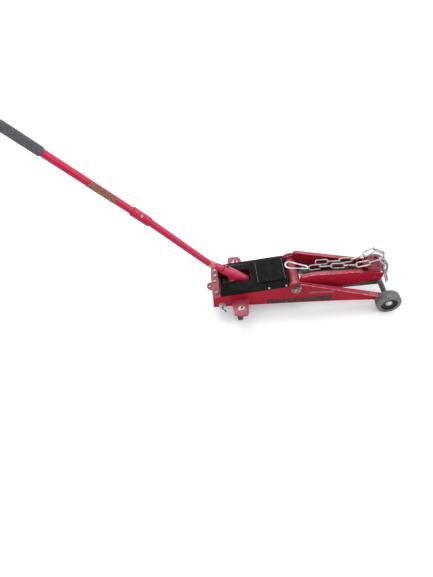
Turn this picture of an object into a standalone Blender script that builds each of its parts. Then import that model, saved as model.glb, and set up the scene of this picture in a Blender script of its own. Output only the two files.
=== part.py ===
"""Hydraulic trolley jack with its arm lowered, a pump handle, and a chain with a snap hook laid along it.

Metres, +Z up, standing on z = 0. +X points to the front wheels and +Y to the operator's left.
Positions are written from the rear caster stems (x = 0); the parent empty then centres the whole jack.
"""

from math import cos, hypot, pi, radians, sin

import bmesh
import bpy
from mathutils import Matrix, Vector

# Driving dimensions
CENTRE_X = -0.02005            # middle of the jack's overall length, measured from the caster stems
GAP = 0.0003                  # clearance between parts that touch
PLATE_Y = 0.0725              # outer face of a side plate
PLATE_T = 0.005
REAR_X, AXLE_X, AXLE_Z = -0.096, 0.546, 0.0455
WHEEL_R, WHEEL_W, WHEEL_IN = 0.0455, 0.0365, 0.0742
AXLE_END = 0.1010
STEM_Y, EAR_Z, EAR_T = 0.1125, 0.084, 0.005
CASTER_R, CASTER_W, TRAIL = 0.0225, 0.018, 0.024
ARM_PIVOT = (0.197, 0.128)    # x, z of the lift arm's shaft
SADDLE_PIVOT = (0.490, 0.120)
ROD_OFFSET = (0.025, -0.040)  # from either end of the arm to the same end of a radius rod
SADDLE_X, SADDLE_Z, SADDLE_R = 0.483, 0.1523, 0.034
CRANK_R, CRANK_REST = 0.062, radians(-120)
CRANK_PIN = (ARM_PIVOT[0] + CRANK_R * cos(CRANK_REST), ARM_PIVOT[1] + CRANK_R * sin(CRANK_REST))
SPRING_PIN = (0.430, 0.125)
TIE_BOLT = (-0.065, 0.065)
COVER_REAR, COVER_STEP, COVER_FRONT = -0.070, 0.050, 0.169
COVER_TOP = [(COVER_REAR, 0.1290), (COVER_STEP, 0.1385), (COVER_FRONT, 0.1550)]
COVER_HALF, COVER_TOP_HALF, COVER_T = 0.0747, 0.0500, 0.0018
RAM_Z = 0.070
SOCKET_END = (0.026, 0.1113)  # lower end of the handle socket's axis
SOCKET_TILT = radians(38)
SOCKET_PIVOT = (0.006, 0.1145)
PUMP_PIN = (-0.0255, 0.1274)
TUBE_LOW, TUBE_MOUTH = 0.0605, 0.1075   # the handle's tube, along the socket's axis
HOOK_PIN = (0.237, -0.009, 0.1665)
SIDES = ((1, "left"), (-1, "right"))

RED = ("red_paint", (0.42, 0.018, 0.045), 0.0, 0.35)
BLACK = ("black_paint", (0.018, 0.018, 0.02), 0.0, 0.45)
ZINC = ("zinc_plate", (0.62, 0.62, 0.60), 1.0, 0.35)
STEEL = ("bare_steel", (0.30, 0.29, 0.28), 1.0, 0.42)
IRON = ("worn_cast_iron", (0.16, 0.145, 0.13), 0.3, 0.7)
TYRE = ("caster_rubber", (0.03, 0.03, 0.03), 0.0, 0.8)
GRIP = ("foam_grip", (0.20, 0.20, 0.21), 0.0, 0.9)
CHAIN = ("galvanised_chain", (0.38, 0.37, 0.35), 1.0, 0.5)
BRIGHT = ("bright_hook_steel", (0.78, 0.79, 0.82), 1.0, 0.2)
SPRING = ("spring_steel", (0.22, 0.22, 0.23), 1.0, 0.4)


# Scene, materials and placing

def clear_scene():
    for obj in list(bpy.data.objects):
        bpy.data.objects.remove(obj, do_unlink=True)


def new_collection(name):
    made = bpy.data.collections.new(name)
    bpy.context.scene.collection.children.link(made)
    return made


def material(finish):
    name, colour, metallic, roughness = finish
    made = bpy.data.materials.get(name)
    if made is None:
        made = bpy.data.materials.new(name)
        made.use_nodes = True
        shader = made.node_tree.nodes["Principled BSDF"]
        shader.inputs["Base Color"].default_value = (*colour, 1)
        shader.inputs["Metallic"].default_value = metallic
        shader.inputs["Roughness"].default_value = roughness
        made.diffuse_color = (*colour, 1)
    return made


def empty(name, at=(0, 0, 0), parent=None):
    made = bpy.data.objects.new(name, None)
    made.location = at
    made.parent = parent
    parts.objects.link(made)
    return made


def place(obj, name, finish, pivot=None):
    """Makes obj a sub-part: its name, its material, and the empty on whose joint it turns."""
    obj.name = obj.data.name = name
    obj.data.materials.clear()
    obj.data.materials.append(material(finish))
    obj.parent = pivot or root
    if pivot:
        obj.location = -pivot.location
    if obj.type == "MESH":
        obj.data.shade_smooth()
        obj.data.set_sharp_from_angle(angle=radians(35))
    return obj


def as_helper(obj):
    """Moves obj to the helpers, which shape other parts and aren't parts themselves."""
    parts.objects.unlink(obj)
    helpers.objects.link(obj)
    obj.parent = root
    obj.hide_render = True
    obj.display_type = "WIRE"
    return obj


def boolean(obj, other, operation):
    as_helper(other)
    modifier = obj.modifiers.new(operation.lower(), "BOOLEAN")
    modifier.operation = operation
    modifier.object = other
    return obj


def cut(obj, *cutters):
    for cutter in cutters:
        boolean(obj, cutter, "DIFFERENCE")
    return obj


def join(obj, *others):
    for other in others:
        boolean(obj, other, "UNION")
    return obj


def bevel(obj, width, segments=1):
    modifier = obj.modifiers.new("bevel", "BEVEL")
    modifier.width = width
    modifier.segments = segments
    modifier.limit_method = "ANGLE"
    modifier.angle_limit = radians(50)
    return obj


# Shapes

def new_object(mesh):
    made = bpy.data.objects.new("shape", mesh)
    parts.objects.link(made)
    return made


def from_bmesh(bm):
    mesh = bpy.data.meshes.new("shape")
    bmesh.ops.recalc_face_normals(bm, faces=bm.faces[:])
    bm.to_mesh(mesh)
    bm.free()
    return new_object(mesh)


def box(low, high):
    bm = bmesh.new()
    bmesh.ops.create_cube(bm, size=1)
    size = Vector(high) - Vector(low)
    middle = (Vector(high) + Vector(low)) / 2
    bmesh.ops.transform(bm, verts=bm.verts[:], matrix=Matrix.Translation(middle) @ Matrix.Diagonal((*size, 1)))
    return from_bmesh(bm)


def rod(start, end, radius, sides=20, turn=0.0):
    """A cylinder, or a prism of few sides, between two points."""
    start, end = Vector(start), Vector(end)
    along = end - start
    bm = bmesh.new()
    bmesh.ops.create_cone(bm, cap_ends=True, segments=sides, radius1=radius, radius2=radius, depth=along.length)
    matrix = (
        Matrix.Translation((start + end) / 2)
        @ along.to_track_quat("Z", "Y").to_matrix().to_4x4()
        @ Matrix.Rotation(turn, 4, "Z")
    )
    bmesh.ops.transform(bm, verts=bm.verts[:], matrix=matrix)
    return from_bmesh(bm)


def cross(x, z, low, high, radius, sides=20, turn=0.0):
    """A cylinder that lies along Y."""
    return rod((x, low, z), (x, high, z), radius, sides, turn)


def arc(centre, radius, first, last, count):
    """Points on a circle from one angle to another, in degrees."""
    steps = [radians(first + (last - first) * k / (count - 1)) for k in range(count)]
    return [(centre[0] + radius * cos(a), centre[1] + radius * sin(a)) for a in steps]


def flat(outline, low, high, normal="Y"):
    """A plate of a flat outline, from low to high along its normal. A Y plate's points are x, z."""
    curve = bpy.data.curves.new("outline", "CURVE")
    curve.dimensions = "2D"
    curve.fill_mode = "BOTH"
    curve.extrude = (high - low) / 2
    spline = curve.splines.new("POLY")
    spline.points.add(len(outline) - 1)
    for point, (a, b) in zip(spline.points, outline):
        point.co = (a, b, 0, 1)
    spline.use_cyclic_u = True
    turned_to = {"Y": Matrix.Rotation(pi / 2, 4, "X"), "Z": Matrix.Identity(4)}[normal]
    shift = (0, (high + low) / 2, 0) if normal == "Y" else (0, 0, (high + low) / 2)
    return as_mesh(bpy.data.objects.new("outline", curve), Matrix.Translation(shift) @ turned_to)


def as_mesh(holder, matrix=Matrix.Identity(4)):
    """Turns a curve object into a mesh object with welded caps."""
    parts.objects.link(holder)
    bpy.context.view_layer.update()
    graph = bpy.context.evaluated_depsgraph_get()
    mesh = bpy.data.meshes.new_from_object(holder.evaluated_get(graph))
    bpy.data.objects.remove(holder)
    mesh.transform(matrix)
    bm = bmesh.new()
    bm.from_mesh(mesh)
    bmesh.ops.remove_doubles(bm, verts=bm.verts[:], dist=1e-6)
    bmesh.ops.recalc_face_normals(bm, faces=bm.faces[:])
    bm.to_mesh(mesh)
    bm.free()
    return new_object(mesh)


def wire(points, radius, rounds=2, wall=None):
    """A round bar along points, or a tube with an open bore where a wall is given."""
    curve = bpy.data.curves.new("wire", "CURVE")
    curve.dimensions = "3D"
    curve.bevel_depth = radius
    curve.bevel_resolution = rounds
    curve.use_fill_caps = wall is None
    spline = curve.splines.new("POLY")
    spline.points.add(len(points) - 1)
    for point, co in zip(spline.points, points):
        point.co = (*co, 1)
    made = as_mesh(bpy.data.objects.new("wire", curve))
    if wall:
        shell = made.modifiers.new("wall", "SOLIDIFY")
        shell.thickness = wall
        shell.offset = -1
    return made


def turned(profile, centre, axis="Z", steps=32):
    """A turned piece. The profile's (radius, height) points run down the outer side and close on the axis or on
    themselves. axis names the direction of its height."""
    bm = bmesh.new()
    verts = [bm.verts.new((r, 0, h)) for r, h in profile]
    ring = min(r for r, _ in profile) > 0
    for a, b in zip(verts, verts[1:] + verts[:1] * ring):
        bm.edges.new((a, b))
    mesh = bpy.data.meshes.new("profile")
    bm.to_mesh(mesh)
    bm.free()
    made = new_object(mesh)
    screw = made.modifiers.new("screw", "SCREW")
    screw.steps = screw.render_steps = steps
    screw.use_merge_vertices = True
    screw.merge_threshold = 1e-5
    facing = {"Z": (0, 0, 1), "-Z": (0, 0, -1), "Y": (0, 1, 0), "-Y": (0, -1, 0), "X": (1, 0, 0)}[axis]
    matrix = Matrix.Translation(centre) @ Vector(facing).to_track_quat("Z", "Y").to_matrix().to_4x4()
    bpy.context.view_layer.update()
    graph = bpy.context.evaluated_depsgraph_get()
    solid = bpy.data.meshes.new_from_object(made.evaluated_get(graph))
    bpy.data.objects.remove(made)
    solid.transform(matrix)
    return new_object(solid)


def loft(sections):
    """A solid through closed sections of equal point count, with a cap at each end."""
    bm = bmesh.new()
    rings = [[bm.verts.new(p) for p in section] for section in sections]
    for one, two in zip(rings, rings[1:]):
        for k in range(len(one)):
            m = (k + 1) % len(one)
            bm.faces.new((one[k], one[m], two[m], two[k]))
    bm.faces.new(rings[0])
    bm.faces.new(rings[-1])
    return from_bmesh(bm)


def between(x, table):
    """Straight-line value at x from a table of (x, value)."""
    for (x0, v0), (x1, v1) in zip(table, table[1:]):
        if x <= x1:
            return v0 + (v1 - v0) * max(0.0, (x - x0) / (x1 - x0))
    return table[-1][1]


def smooth(points, per_span):
    """Points on a smooth curve through the given ones."""
    p = [Vector(q) for q in points]
    p = [2 * p[0] - p[1], *p, 2 * p[-1] - p[-2]]
    found = []
    for a, b, c, d in zip(p, p[1:], p[2:], p[3:]):
        for k in range(per_span):
            t = k / per_span
            square, cube = 2 * a - 5 * b + 4 * c - d, 3 * b - a - 3 * c + d
            found.append(0.5 * (2 * b + (c - a) * t + square * t**2 + cube * t**3))
    return found + [p[-2]]


# Chassis

def skirt_z(x):
    """Lower edge of the rear cover's skirt."""
    return 0.1120 + (x - COVER_REAR) * 0.135


def side_plate(side, name):
    nose = arc((AXLE_X, AXLE_Z), 0.0195, -100, 55, 9)
    hub = arc(ARM_PIVOT, 0.033, 75, 150, 5)
    outline = [
        (REAR_X, 0.0525), (0.035, 0.0525), (0.210, 0.049), (0.364, 0.044), (0.496, 0.036),
        *nose, (0.527, 0.066), *hub, (0.160, skirt_z(0.160) + 0.001),
        (-0.074, skirt_z(-0.074) + 0.001), (-0.080, 0.105), (REAR_X, 0.105),
    ]
    low, high = sorted((side * PLATE_Y, side * (PLATE_Y - PLATE_T)))
    plate = flat(outline, low, high)
    flange_at = [(0.2055, 0.156, 0.006), (0.30, 0.130, 0.009), (0.42, 0.096, 0.014), (0.505, 0.0722, 0.018)]
    inner, outer = PLATE_Y - PLATE_T + 0.001, PLATE_Y - 0.0005
    sections = []
    for x, z, wide in flange_at:
        corners = ((inner, -0.003), (outer + wide, -0.003), (outer + wide, 0.0005), (inner, 0.0005))
        sections.append([(x, side * y, z + up) for y, up in corners])
    join(plate, loft(sections))
    ends = sorted((side * 0.06, side * 0.08))
    for (x, z), radius in ((ARM_PIVOT, 0.0124), ((AXLE_X, AXLE_Z), 0.0104), (TIE_BOLT, 0.0064)):
        cut(plate, cross(x, z, *ends, radius))
    return place(plate, name, RED)


def rear_cross_plate():
    inner = PLATE_Y - PLATE_T - GAP
    plate = box((REAR_X, -inner, 0.056), (REAR_X + 0.005, inner, 0.105))
    flange = box((REAR_X + 0.001, -inner, 0.1005), (REAR_X + 0.024, inner, 0.105))
    lug = arc((REAR_X - 0.002, -0.014), 0.018, 112, 248, 9)
    tab = flat([(REAR_X + 0.004, 0.0035), *lug, (REAR_X + 0.004, -0.0315)], 0.0995, 0.1040, "Z")
    eye = rod((REAR_X - 0.009, -0.014, 0.09), (REAR_X - 0.009, -0.014, 0.11), 0.0045, 12)
    return place(cut(join(plate, flange, tab), eye), "rear_cross_plate", RED)


def caster_ear(side, name):
    near = PLATE_Y + GAP
    corner_a = arc((-0.012, 0.1275), 0.0145, 180, 90, 5)
    corner_b = arc((0.0095, 0.1275), 0.0145, 90, 0, 5)
    outline = [(-0.034, near), *corner_a, *corner_b, (0.031, near)]
    ear = flat([(x, side * y) for x, y in outline], EAR_Z - EAR_T, EAR_Z, "Z")
    hole = rod((0, side * STEM_Y, 0.07), (0, side * STEM_Y, 0.09), 0.0054, 16)
    return place(cut(ear, hole), name, RED)


def caster_nut(side, name):
    at = (0, side * STEM_Y, EAR_Z + GAP)
    nut = rod(at, (0, side * STEM_Y, EAR_Z + 0.0075), 0.0108, 6)
    washer = rod(at, (0, side * STEM_Y, EAR_Z + 0.0015), 0.0125, 20)
    hole = rod((0, side * STEM_Y, 0.07), (0, side * STEM_Y, 0.1), 0.0054, 16)
    return place(cut(join(nut, washer), hole), name, ZINC)


def front_axle():
    axle = cross(AXLE_X, AXLE_Z, -AXLE_END, AXLE_END, 0.010)
    place(axle, "front_axle", STEEL)
    for side, name in SIDES:
        profile = [(0, 0.0057), (0.0105, 0.0057), (0.0125, 0.0040), (0.0125, 0), (0, 0)]
        cap = turned(profile, (AXLE_X, side * (AXLE_END + GAP), AXLE_Z), "Y" if side > 0 else "-Y", 20)
        place(cap, "axle_cap_" + name, ZINC)


def fasteners():
    x, z = TIE_BOLT
    bolt = cross(x, z, -0.0850, 0.0790, 0.006, 16)
    head = cross(x, z, PLATE_Y + GAP, 0.0790, 0.0105, 6)
    nut = cross(x, z, -0.0800, -PLATE_Y - GAP, 0.0105, 6)
    place(join(bolt, head, nut), "tie_bolt", ZINC)
    start = Vector((x, -0.0853, z))
    bend = Vector((x, -0.0900, z))
    tip = Vector((x + 0.0115, -0.0990, z - 0.009))
    nipple = join(rod(start, bend + (bend - start) * 0.3, 0.0036, 6), rod(bend, tip, 0.0020, 10))
    join(nipple, rod(tip - (tip - bend) * 0.35, tip, 0.0032, 10))
    place(nipple, "grease_nipple", STEEL)
    px, pz = ARM_PIVOT
    place(cross(px, pz, -0.0850, 0.0850, 0.012), "pivot_shaft", STEEL)
    for side, name in SIDES:
        ends = sorted((side * (PLATE_Y + GAP), side * 0.0815))
        nut = cross(px, pz, *ends, 0.0185, 6, radians(12))
        place(cut(nut, cross(px, pz, -0.1, 0.1, 0.0123)), "pivot_nut_" + name, ZINC)
        pin_ends = sorted((side * (PLATE_Y - PLATE_T - GAP), side * 0.026))
        pin = cross(px + ROD_OFFSET[0], pz + ROD_OFFSET[1], *pin_ends, 0.005, 14)
        place(pin, "lower_pin_" + name, STEEL)


def power_unit():
    x, z = SOCKET_PIVOT
    block = box((-0.055, -0.034, 0.045), (0.045, 0.034, 0.085))
    outline = [(x - 0.010, 0.080), *reversed(arc((x, z), 0.010, 0, 180, 9)), (x + 0.010, 0.080)]
    join(block, flat(outline, -0.0115, 0.0115))
    cut(block, cross(x, z, -0.02, 0.02, 0.0053, 16))
    cut(block, rod((PUMP_PIN[0], 0, 0.048), (PUMP_PIN[0], 0, 0.09), 0.0063, 16))
    place(block, "pump_block", STEEL)
    profile = [(0.0230, 0.0823), (0.0230, 0), (0.0105, 0), (0.0105, 0.0823)]
    place(turned(profile, (0.045 + GAP, 0, RAM_Z), "X", 28), "ram_cylinder", RED)
    place(cross(x, z, -0.0245, 0.0245, 0.005, 16), "socket_pivot_pin", ZINC)


def cover_section(x):
    """The cover's cross-section at x: short skirts, slopes up to a flat top, and the same line inside."""
    low = skirt_z(x)
    outer = [(COVER_HALF, low), (COVER_HALF, low + 0.003), (COVER_TOP_HALF, between(x, COVER_TOP))]
    inner = [(y - COVER_T, z - COVER_T * (z > low)) for y, z in outer]
    ring = outer + [(-y, z) for y, z in reversed(outer)] + [(-y, z) for y, z in inner] + inner[::-1]
    return [(x, y, z) for y, z in ring]


def rear_cover():
    """Pressed black sheet over the power unit, with an open notch where the handle socket works."""
    cover = loft([cover_section(x) for x in (COVER_REAR, COVER_STEP, 0.064, COVER_FRONT)])
    cut(cover, box((-0.09, -0.0275, 0.09), (0.040, 0.0275, 0.17)))
    place(cover, "rear_cover", BLACK)
    rear, front = COVER_TOP[1][1], COVER_TOP[2][1]
    stations = (
        (0.052, 0.0475, rear + 0.0006, rear + 0.0016),
        (0.064, 0.0485, rear + 0.0022, 0.1455),
        (0.159, 0.0500, front, 0.1605),
    )
    sections = []
    for x, y, z, top in stations:
        sections.append([(x, -y, z), (x, y, z), (x, y - 0.001, top), (x, -y + 0.001, top)])
    place(loft(sections), "cover_box", BLACK)


def release_spindle():
    at = Vector((0.033, 0, 0.085 + GAP))
    pivot = empty("release_spindle_axis", at, root)
    spindle = rod(at, at + Vector((0, 0, 0.008)), 0.0075, 6)
    join(spindle, rod(at + Vector((0, 0, 0.007)), at + Vector((0, 0, 0.014)), 0.0045, 12))
    place(spindle, "release_spindle", ZINC, pivot)


# Lift arm and what it carries

ARM_WIDTH = [
    (0.206, 0.0645), (0.222, 0.0645), (0.25, 0.0580), (0.30, 0.0520), (0.35, 0.0465), (0.40, 0.0405),
    (0.45, 0.0360), (0.523, 0.0340),
]
ARM_TOP = [
    (0.206, 0.1785), (0.25, 0.1765), (0.30, 0.1710), (0.35, 0.1640), (0.40, 0.1590), (0.45, 0.1515),
    (0.523, 0.1370),
]
ARM_LOW = [
    (0.206, 0.0985), (0.25, 0.0960), (0.30, 0.0860), (0.35, 0.0870), (0.40, 0.0910), (0.45, 0.0960),
    (0.523, 0.1130),
]
ARM_FLANGE = [(0.2065, 0.0105), (0.25, 0.013), (0.30, 0.014), (0.35, 0.014), (0.40, 0.013), (0.442, 0.011)]


def arm_plate(side, name, pivot):
    """A pressed plate with a round eye on the shaft and an inward top flange. It tapers inwards to the front."""
    thick = 0.005

    def wall(x, z_low, z_high):
        outer, inner = side * between(x, ARM_WIDTH), side * (between(x, ARM_WIDTH) - thick)
        return [(x, outer, z_low), (x, outer, z_high), (x, inner, z_high), (x, inner, z_low)]

    plate = loft([wall(x, between(x, ARM_LOW), between(x, ARM_TOP)) for x, _ in ARM_WIDTH])
    ends = sorted((side * (ARM_WIDTH[0][1] - thick + 0.0002), side * (ARM_WIDTH[0][1] - 0.0002)))
    join(plate, cross(*ARM_PIVOT, *ends, 0.030, 28))
    flange = []
    for x, wide in ARM_FLANGE:
        outer, top = between(x, ARM_WIDTH) - 0.001, between(x, ARM_TOP) + 0.0005
        corners = ((outer, top), (outer - wide, top), (outer - wide, top - 0.004), (outer, top - 0.004))
        flange.append([(x, side * y, z) for y, z in corners])
    join(plate, loft(flange))
    cut(plate, cross(*ARM_PIVOT, -0.08, 0.08, 0.0124), cross(*SADDLE_PIVOT, -0.05, 0.05, 0.0084))
    return place(plate, "arm_plate_" + name, RED, pivot)


def arm_tube(pivot):
    """The arm's cross tube on the shaft, with the two crank cheeks that the ram pushes."""
    x, z = ARM_PIVOT
    inner = ARM_WIDTH[0][1] - 0.005 - GAP
    tube = cross(x, z, -inner, inner, 0.020, 24)
    cx, cz = CRANK_PIN
    for side in (1, -1):
        ends = sorted((side * 0.0146, side * 0.0200))
        start = CRANK_REST + pi / 2
        tip = [(cx + 0.012 * cos(start - pi * k / 8), cz + 0.012 * sin(start - pi * k / 8)) for k in range(9)]
        first = (x + 0.012 * cos(start), z + 0.012 * sin(start))
        last = (x - 0.012 * cos(start), z - 0.012 * sin(start))
        join(tube, flat([first, *tip, last], *ends))
    cut(tube, cross(x, z, -0.08, 0.08, 0.0124), cross(cx, cz, -0.03, 0.03, 0.0073, 16))
    place(tube, "arm_pivot_tube", RED, pivot)
    place(cross(cx, cz, -0.0225, 0.0225, 0.007, 16), "arm_crank_pin", STEEL, pivot)


def lift_arm():
    pivot = empty("lift_arm_hinge", (ARM_PIVOT[0], 0, ARM_PIVOT[1]), root)
    for side, name in SIDES:
        arm_plate(side, name, pivot)
    arm_tube(pivot)
    half = between(SPRING_PIN[0], ARM_WIDTH) - 0.005 - 2 * GAP
    place(cross(*SPRING_PIN, -half, half, 0.004, 14), "spring_pin", STEEL, pivot)
    place(cross(*SADDLE_PIVOT, -0.0385, 0.0385, 0.008), "saddle_pin", ZINC, pivot)
    return pivot


def coil(start, end, radius, gauge, turns, lead, per_turn=8):
    """A coil spring's line between two points, with a straight lead at each end."""
    start, end = Vector(start), Vector(end)
    along = (end - start).normalized()
    up = Vector((0, 0, 1)) if abs(along.z) < 0.9 else Vector((1, 0, 0))
    out = along.cross(up).normalized()
    up = out.cross(along)
    inner = (end - start).length - 2 * lead
    points = [start]
    for k in range(turns * per_turn + 1):
        a = 2 * pi * k / per_turn
        centre = start + along * (lead + inner * k / (turns * per_turn))
        points.append(centre + (radius - gauge) * (up * cos(a) + out * sin(a)))
    return points + [end]


def return_springs(pivot):
    low = (ARM_PIVOT[0] + ROD_OFFSET[0], ARM_PIVOT[1] + ROD_OFFSET[1])
    for side, name in SIDES:
        a, b = Vector((low[0], side * 0.0305, low[1])), Vector((SPRING_PIN[0], side * 0.018, SPRING_PIN[1]))
        along = (b - a).normalized()
        line = coil(a + along * 0.0070, b - along * 0.0062, 0.009, 0.0013, 18, 0.020)
        place(wire(line, 0.0013, 0), "return_spring_" + name, SPRING, pivot)


def radius_rods():
    """Two bars that keep the saddle level: with the arm they make a parallelogram."""
    rear = (ARM_PIVOT[0] + ROD_OFFSET[0], ARM_PIVOT[1] + ROD_OFFSET[1])
    front = (SADDLE_PIVOT[0] + ROD_OFFSET[0], SADDLE_PIVOT[1] + ROD_OFFSET[1])
    pivot = empty("radius_rod_hinge", (rear[0], 0, rear[1]), root)
    length = hypot(front[0] - rear[0], front[1] - rear[1])
    slope = (front[1] - rear[1]) / length
    for side, name in SIDES:
        outline = arc((0, 0), 0.0105, 90, 270, 9) + arc((length, 0), 0.0105, -90, 90, 9)
        bar = flat(outline, -0.003, 0.003)
        bar.parent = root
        cut(bar, cross(0, 0, -0.01, 0.01, 0.0054, 14), cross(length, 0, -0.01, 0.01, 0.0054, 14))
        bpy.context.view_layer.update()
        graph = bpy.context.evaluated_depsgraph_get()
        solid = bpy.data.meshes.new_from_object(bar.evaluated_get(graph))
        for cutter in [m.object for m in bar.modifiers]:
            bpy.data.objects.remove(cutter)
        bpy.data.objects.remove(bar)
        tilt = Matrix.Rotation(-slope, 4, "Y")
        for v in solid.vertices:
            v.co.y += side * (0.0430 - 0.0190 * v.co.x / length)
        solid.transform(Matrix.Translation((rear[0], 0, rear[1])) @ tilt)
        place(new_object(solid), "radius_rod_" + name, STEEL, pivot)


def saddle_bracket():
    x, z = SADDLE_PIVOT
    pivot = empty("saddle_level_hinge", (x, 0, z), root)
    front = (x + ROD_OFFSET[0], z + ROD_OFFSET[1])
    head = box((0.466, -0.0280, 0.100), (0.512, 0.0280, 0.147))
    boss = rod((SADDLE_X, 0, 0.145), (SADDLE_X, 0, SADDLE_Z - GAP), 0.020, 24)
    outline = [(0.490, 0.104), (0.5035, 0.080), *arc(front, 0.0115, 180, 360, 9), (0.5265, 0.090), (0.5115, 0.104)]
    lug = flat(outline, -0.0195, 0.0195)
    join(bevel(head, 0.003), lug, boss)
    cut(head, cross(x, z, -0.04, 0.04, 0.0084), cross(*front, -0.03, 0.03, 0.0053, 14))
    place(head, "saddle_bracket", RED, pivot)
    place(cross(*front, -0.0283, 0.0283, 0.005, 14), "radius_front_pin", ZINC, pivot)
    turn = empty("saddle_turn", (SADDLE_X - x, 0, SADDLE_Z - z), pivot)
    rim = SADDLE_R
    profile = [(0, 0.0095), (rim - 0.008, 0.0095), (rim - 0.006, 0.0115), (rim - 0.002, 0.0115), (rim, 0.0095),
               (rim, 0.0040), (rim - 0.004, 0.0015), (0.022, 0), (0, 0)]
    saddle = turned(profile, (SADDLE_X, 0, SADDLE_Z), "Z", 32)
    for k in range(4):
        tooth = box((rim - 0.0095, -0.006, 0.1602), (rim - 0.0015, 0.006, 0.1725))
        turn_by = Matrix.Rotation(radians(45 + 90 * k), 4, "Z")
        tooth.data.transform(Matrix.Translation((SADDLE_X, 0, 0)) @ turn_by)
        join(saddle, tooth)
    place(saddle, "saddle", RED)
    saddle.parent = turn
    saddle.location = -Vector((SADDLE_X, 0, SADDLE_Z))
    return pivot


def ram():
    pivot = empty("ram_slide", (0.128, 0, RAM_Z), root)
    place(rod((0.052, 0, RAM_Z), (0.1475, 0, RAM_Z), 0.0100, 20), "ram_rod", ZINC, pivot)
    yoke = box((0.1478, -0.014, 0.052), (0.1835, 0.014, 0.088))
    slot = box((CRANK_PIN[0] - 0.0085, -0.02, 0.0575), (CRANK_PIN[0] + 0.0085, 0.02, 0.0825))
    place(cut(bevel(yoke, 0.002), slot), "ram_yoke", STEEL, pivot)


# Handle and pump

def on_socket(s, n):
    """x, z of a point at s up the socket's axis and n above it."""
    up = (-cos(SOCKET_TILT), sin(SOCKET_TILT))
    over = (sin(SOCKET_TILT), cos(SOCKET_TILT))
    return (SOCKET_END[0] + s * up[0] + n * over[0], SOCKET_END[1] + s * up[1] + n * over[1])


def spot(xz, y=0.0):
    return Vector((xz[0], y, xz[1]))


def handle_socket():
    """A tube for the handle, welded into a channel whose cheeks carry the pivot pin and the pump pin."""
    pivot = empty("handle_pump_hinge", (SOCKET_PIVOT[0], 0, SOCKET_PIVOT[1]), root)
    tube = rod(spot(on_socket(TUBE_LOW, 0)), spot(on_socket(TUBE_MOUTH, 0)), 0.0165, 28)
    cheek = [(-0.002, 0.0155), (-0.003, -0.008), (0.006, -0.0195), (0.026, -0.0205), (0.040, -0.0285),
             (0.058, -0.0285), (0.072, -0.014), (0.086, -0.004), (0.086, 0.004), (0.062, 0.0155)]
    for side in (1, -1):
        join(tube, flat([on_socket(s, n) for s, n in cheek], *sorted((side * 0.0132, side * 0.0185))))
    web = [(-0.002, 0.0115), (0.066, 0.0115), (0.066, 0.0155), (-0.002, 0.0155)]
    join(tube, flat([on_socket(s, n) for s, n in web], -0.0183, 0.0183))
    cut(tube, rod(spot(on_socket(0.050, 0)), spot(on_socket(0.120, 0)), 0.0130, 28))
    cut(tube, cross(*SOCKET_PIVOT, -0.03, 0.03, 0.0053, 16), cross(*PUMP_PIN, -0.03, 0.03, 0.0063, 16))
    place(tube, "handle_socket", RED, pivot)
    place(cross(*PUMP_PIN, -0.0215, 0.0215, 0.006, 16), "pump_pin", ZINC, pivot)
    return pivot


HANDLE_BEND = [(-0.0880, 0.1970), (-0.0960, 0.2025), (-0.1080, 0.2110), (-0.1600, 0.2680), (-0.2290, 0.3455)]
JOINT_LOW, JOINT_MID, JOINT_HIGH = (-0.2870, 0.4095), (-0.3090, 0.4320), (-0.3330, 0.4570)
HANDLE_END = (-0.6220, 0.7560)


def handle(socket):
    pivot = empty("handle_twist_axis", spot(on_socket(TUBE_LOW, 0)) - socket.location, socket)
    line = [on_socket(0.066, 0), on_socket(0.120, 0), *HANDLE_BEND, JOINT_LOW, JOINT_MID]
    points = [spot(line[0])] + smooth([spot(p) for p in line[1:]], 3)
    pieces = [place(wire(points, 0.0122, 3, 0.002), "lower_handle_tube", RED)]
    low, high, end = spot(JOINT_LOW), spot(JOINT_HIGH), spot(HANDLE_END)
    along = (high - low).normalized()
    profile = [(0.0155, 0.063), (0.0155, 0), (0.0126, 0), (0.0126, 0.063)]
    sleeve = turned(profile, (0, 0, 0), "Z", 24)
    matrix = Matrix.Translation(low + along * 0.003) @ along.to_track_quat("Z", "Y").to_matrix().to_4x4()
    sleeve.data.transform(matrix)
    pieces.append(place(sleeve, "coupling_sleeve", RED))
    start = spot(JOINT_MID) + along * 0.0006
    out = (end - high).normalized()
    upper = wire([start, high, high + out * 0.02, end - out * 0.002], 0.0122, 3, 0.002)
    pieces.append(place(upper, "upper_handle_tube", RED))
    profile = [(0.0125, 0.118), (0.0138, 0.1175), (0.0150, 0.115), (0.0150, 0.003), (0.0140, 0), (0.0125, 0)]
    grip = turned(profile, (0, 0, 0), "Z", 24)
    grip.data.transform(Matrix.Translation(end - out * 0.118) @ out.to_track_quat("Z", "Y").to_matrix().to_4x4())
    pieces.append(place(grip, "handle_grip", GRIP))
    for piece in pieces:
        piece.parent = pivot
        piece.location = -spot(on_socket(TUBE_LOW, 0))


def pump():
    x = PUMP_PIN[0]
    pivot = empty("pump_slide", (x, 0, 0.085), root)
    profile = [(0, 0.0567), (0.009, 0.0567), (0.010, 0.0555), (0.010, 0.0517), (0.006, 0.0517), (0.006, 0), (0, 0)]
    place(turned(profile, (x, 0, 0.0625), "Z", 18), "pump_plunger", STEEL, pivot)
    line = coil((x, 0, 0.0868), (x, 0, 0.1126), 0.0090, 0.0010, 5, 0.0, 10)
    place(wire(line[1:-1], 0.0010, 0), "pump_spring", SPRING)


# Wheels

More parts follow.
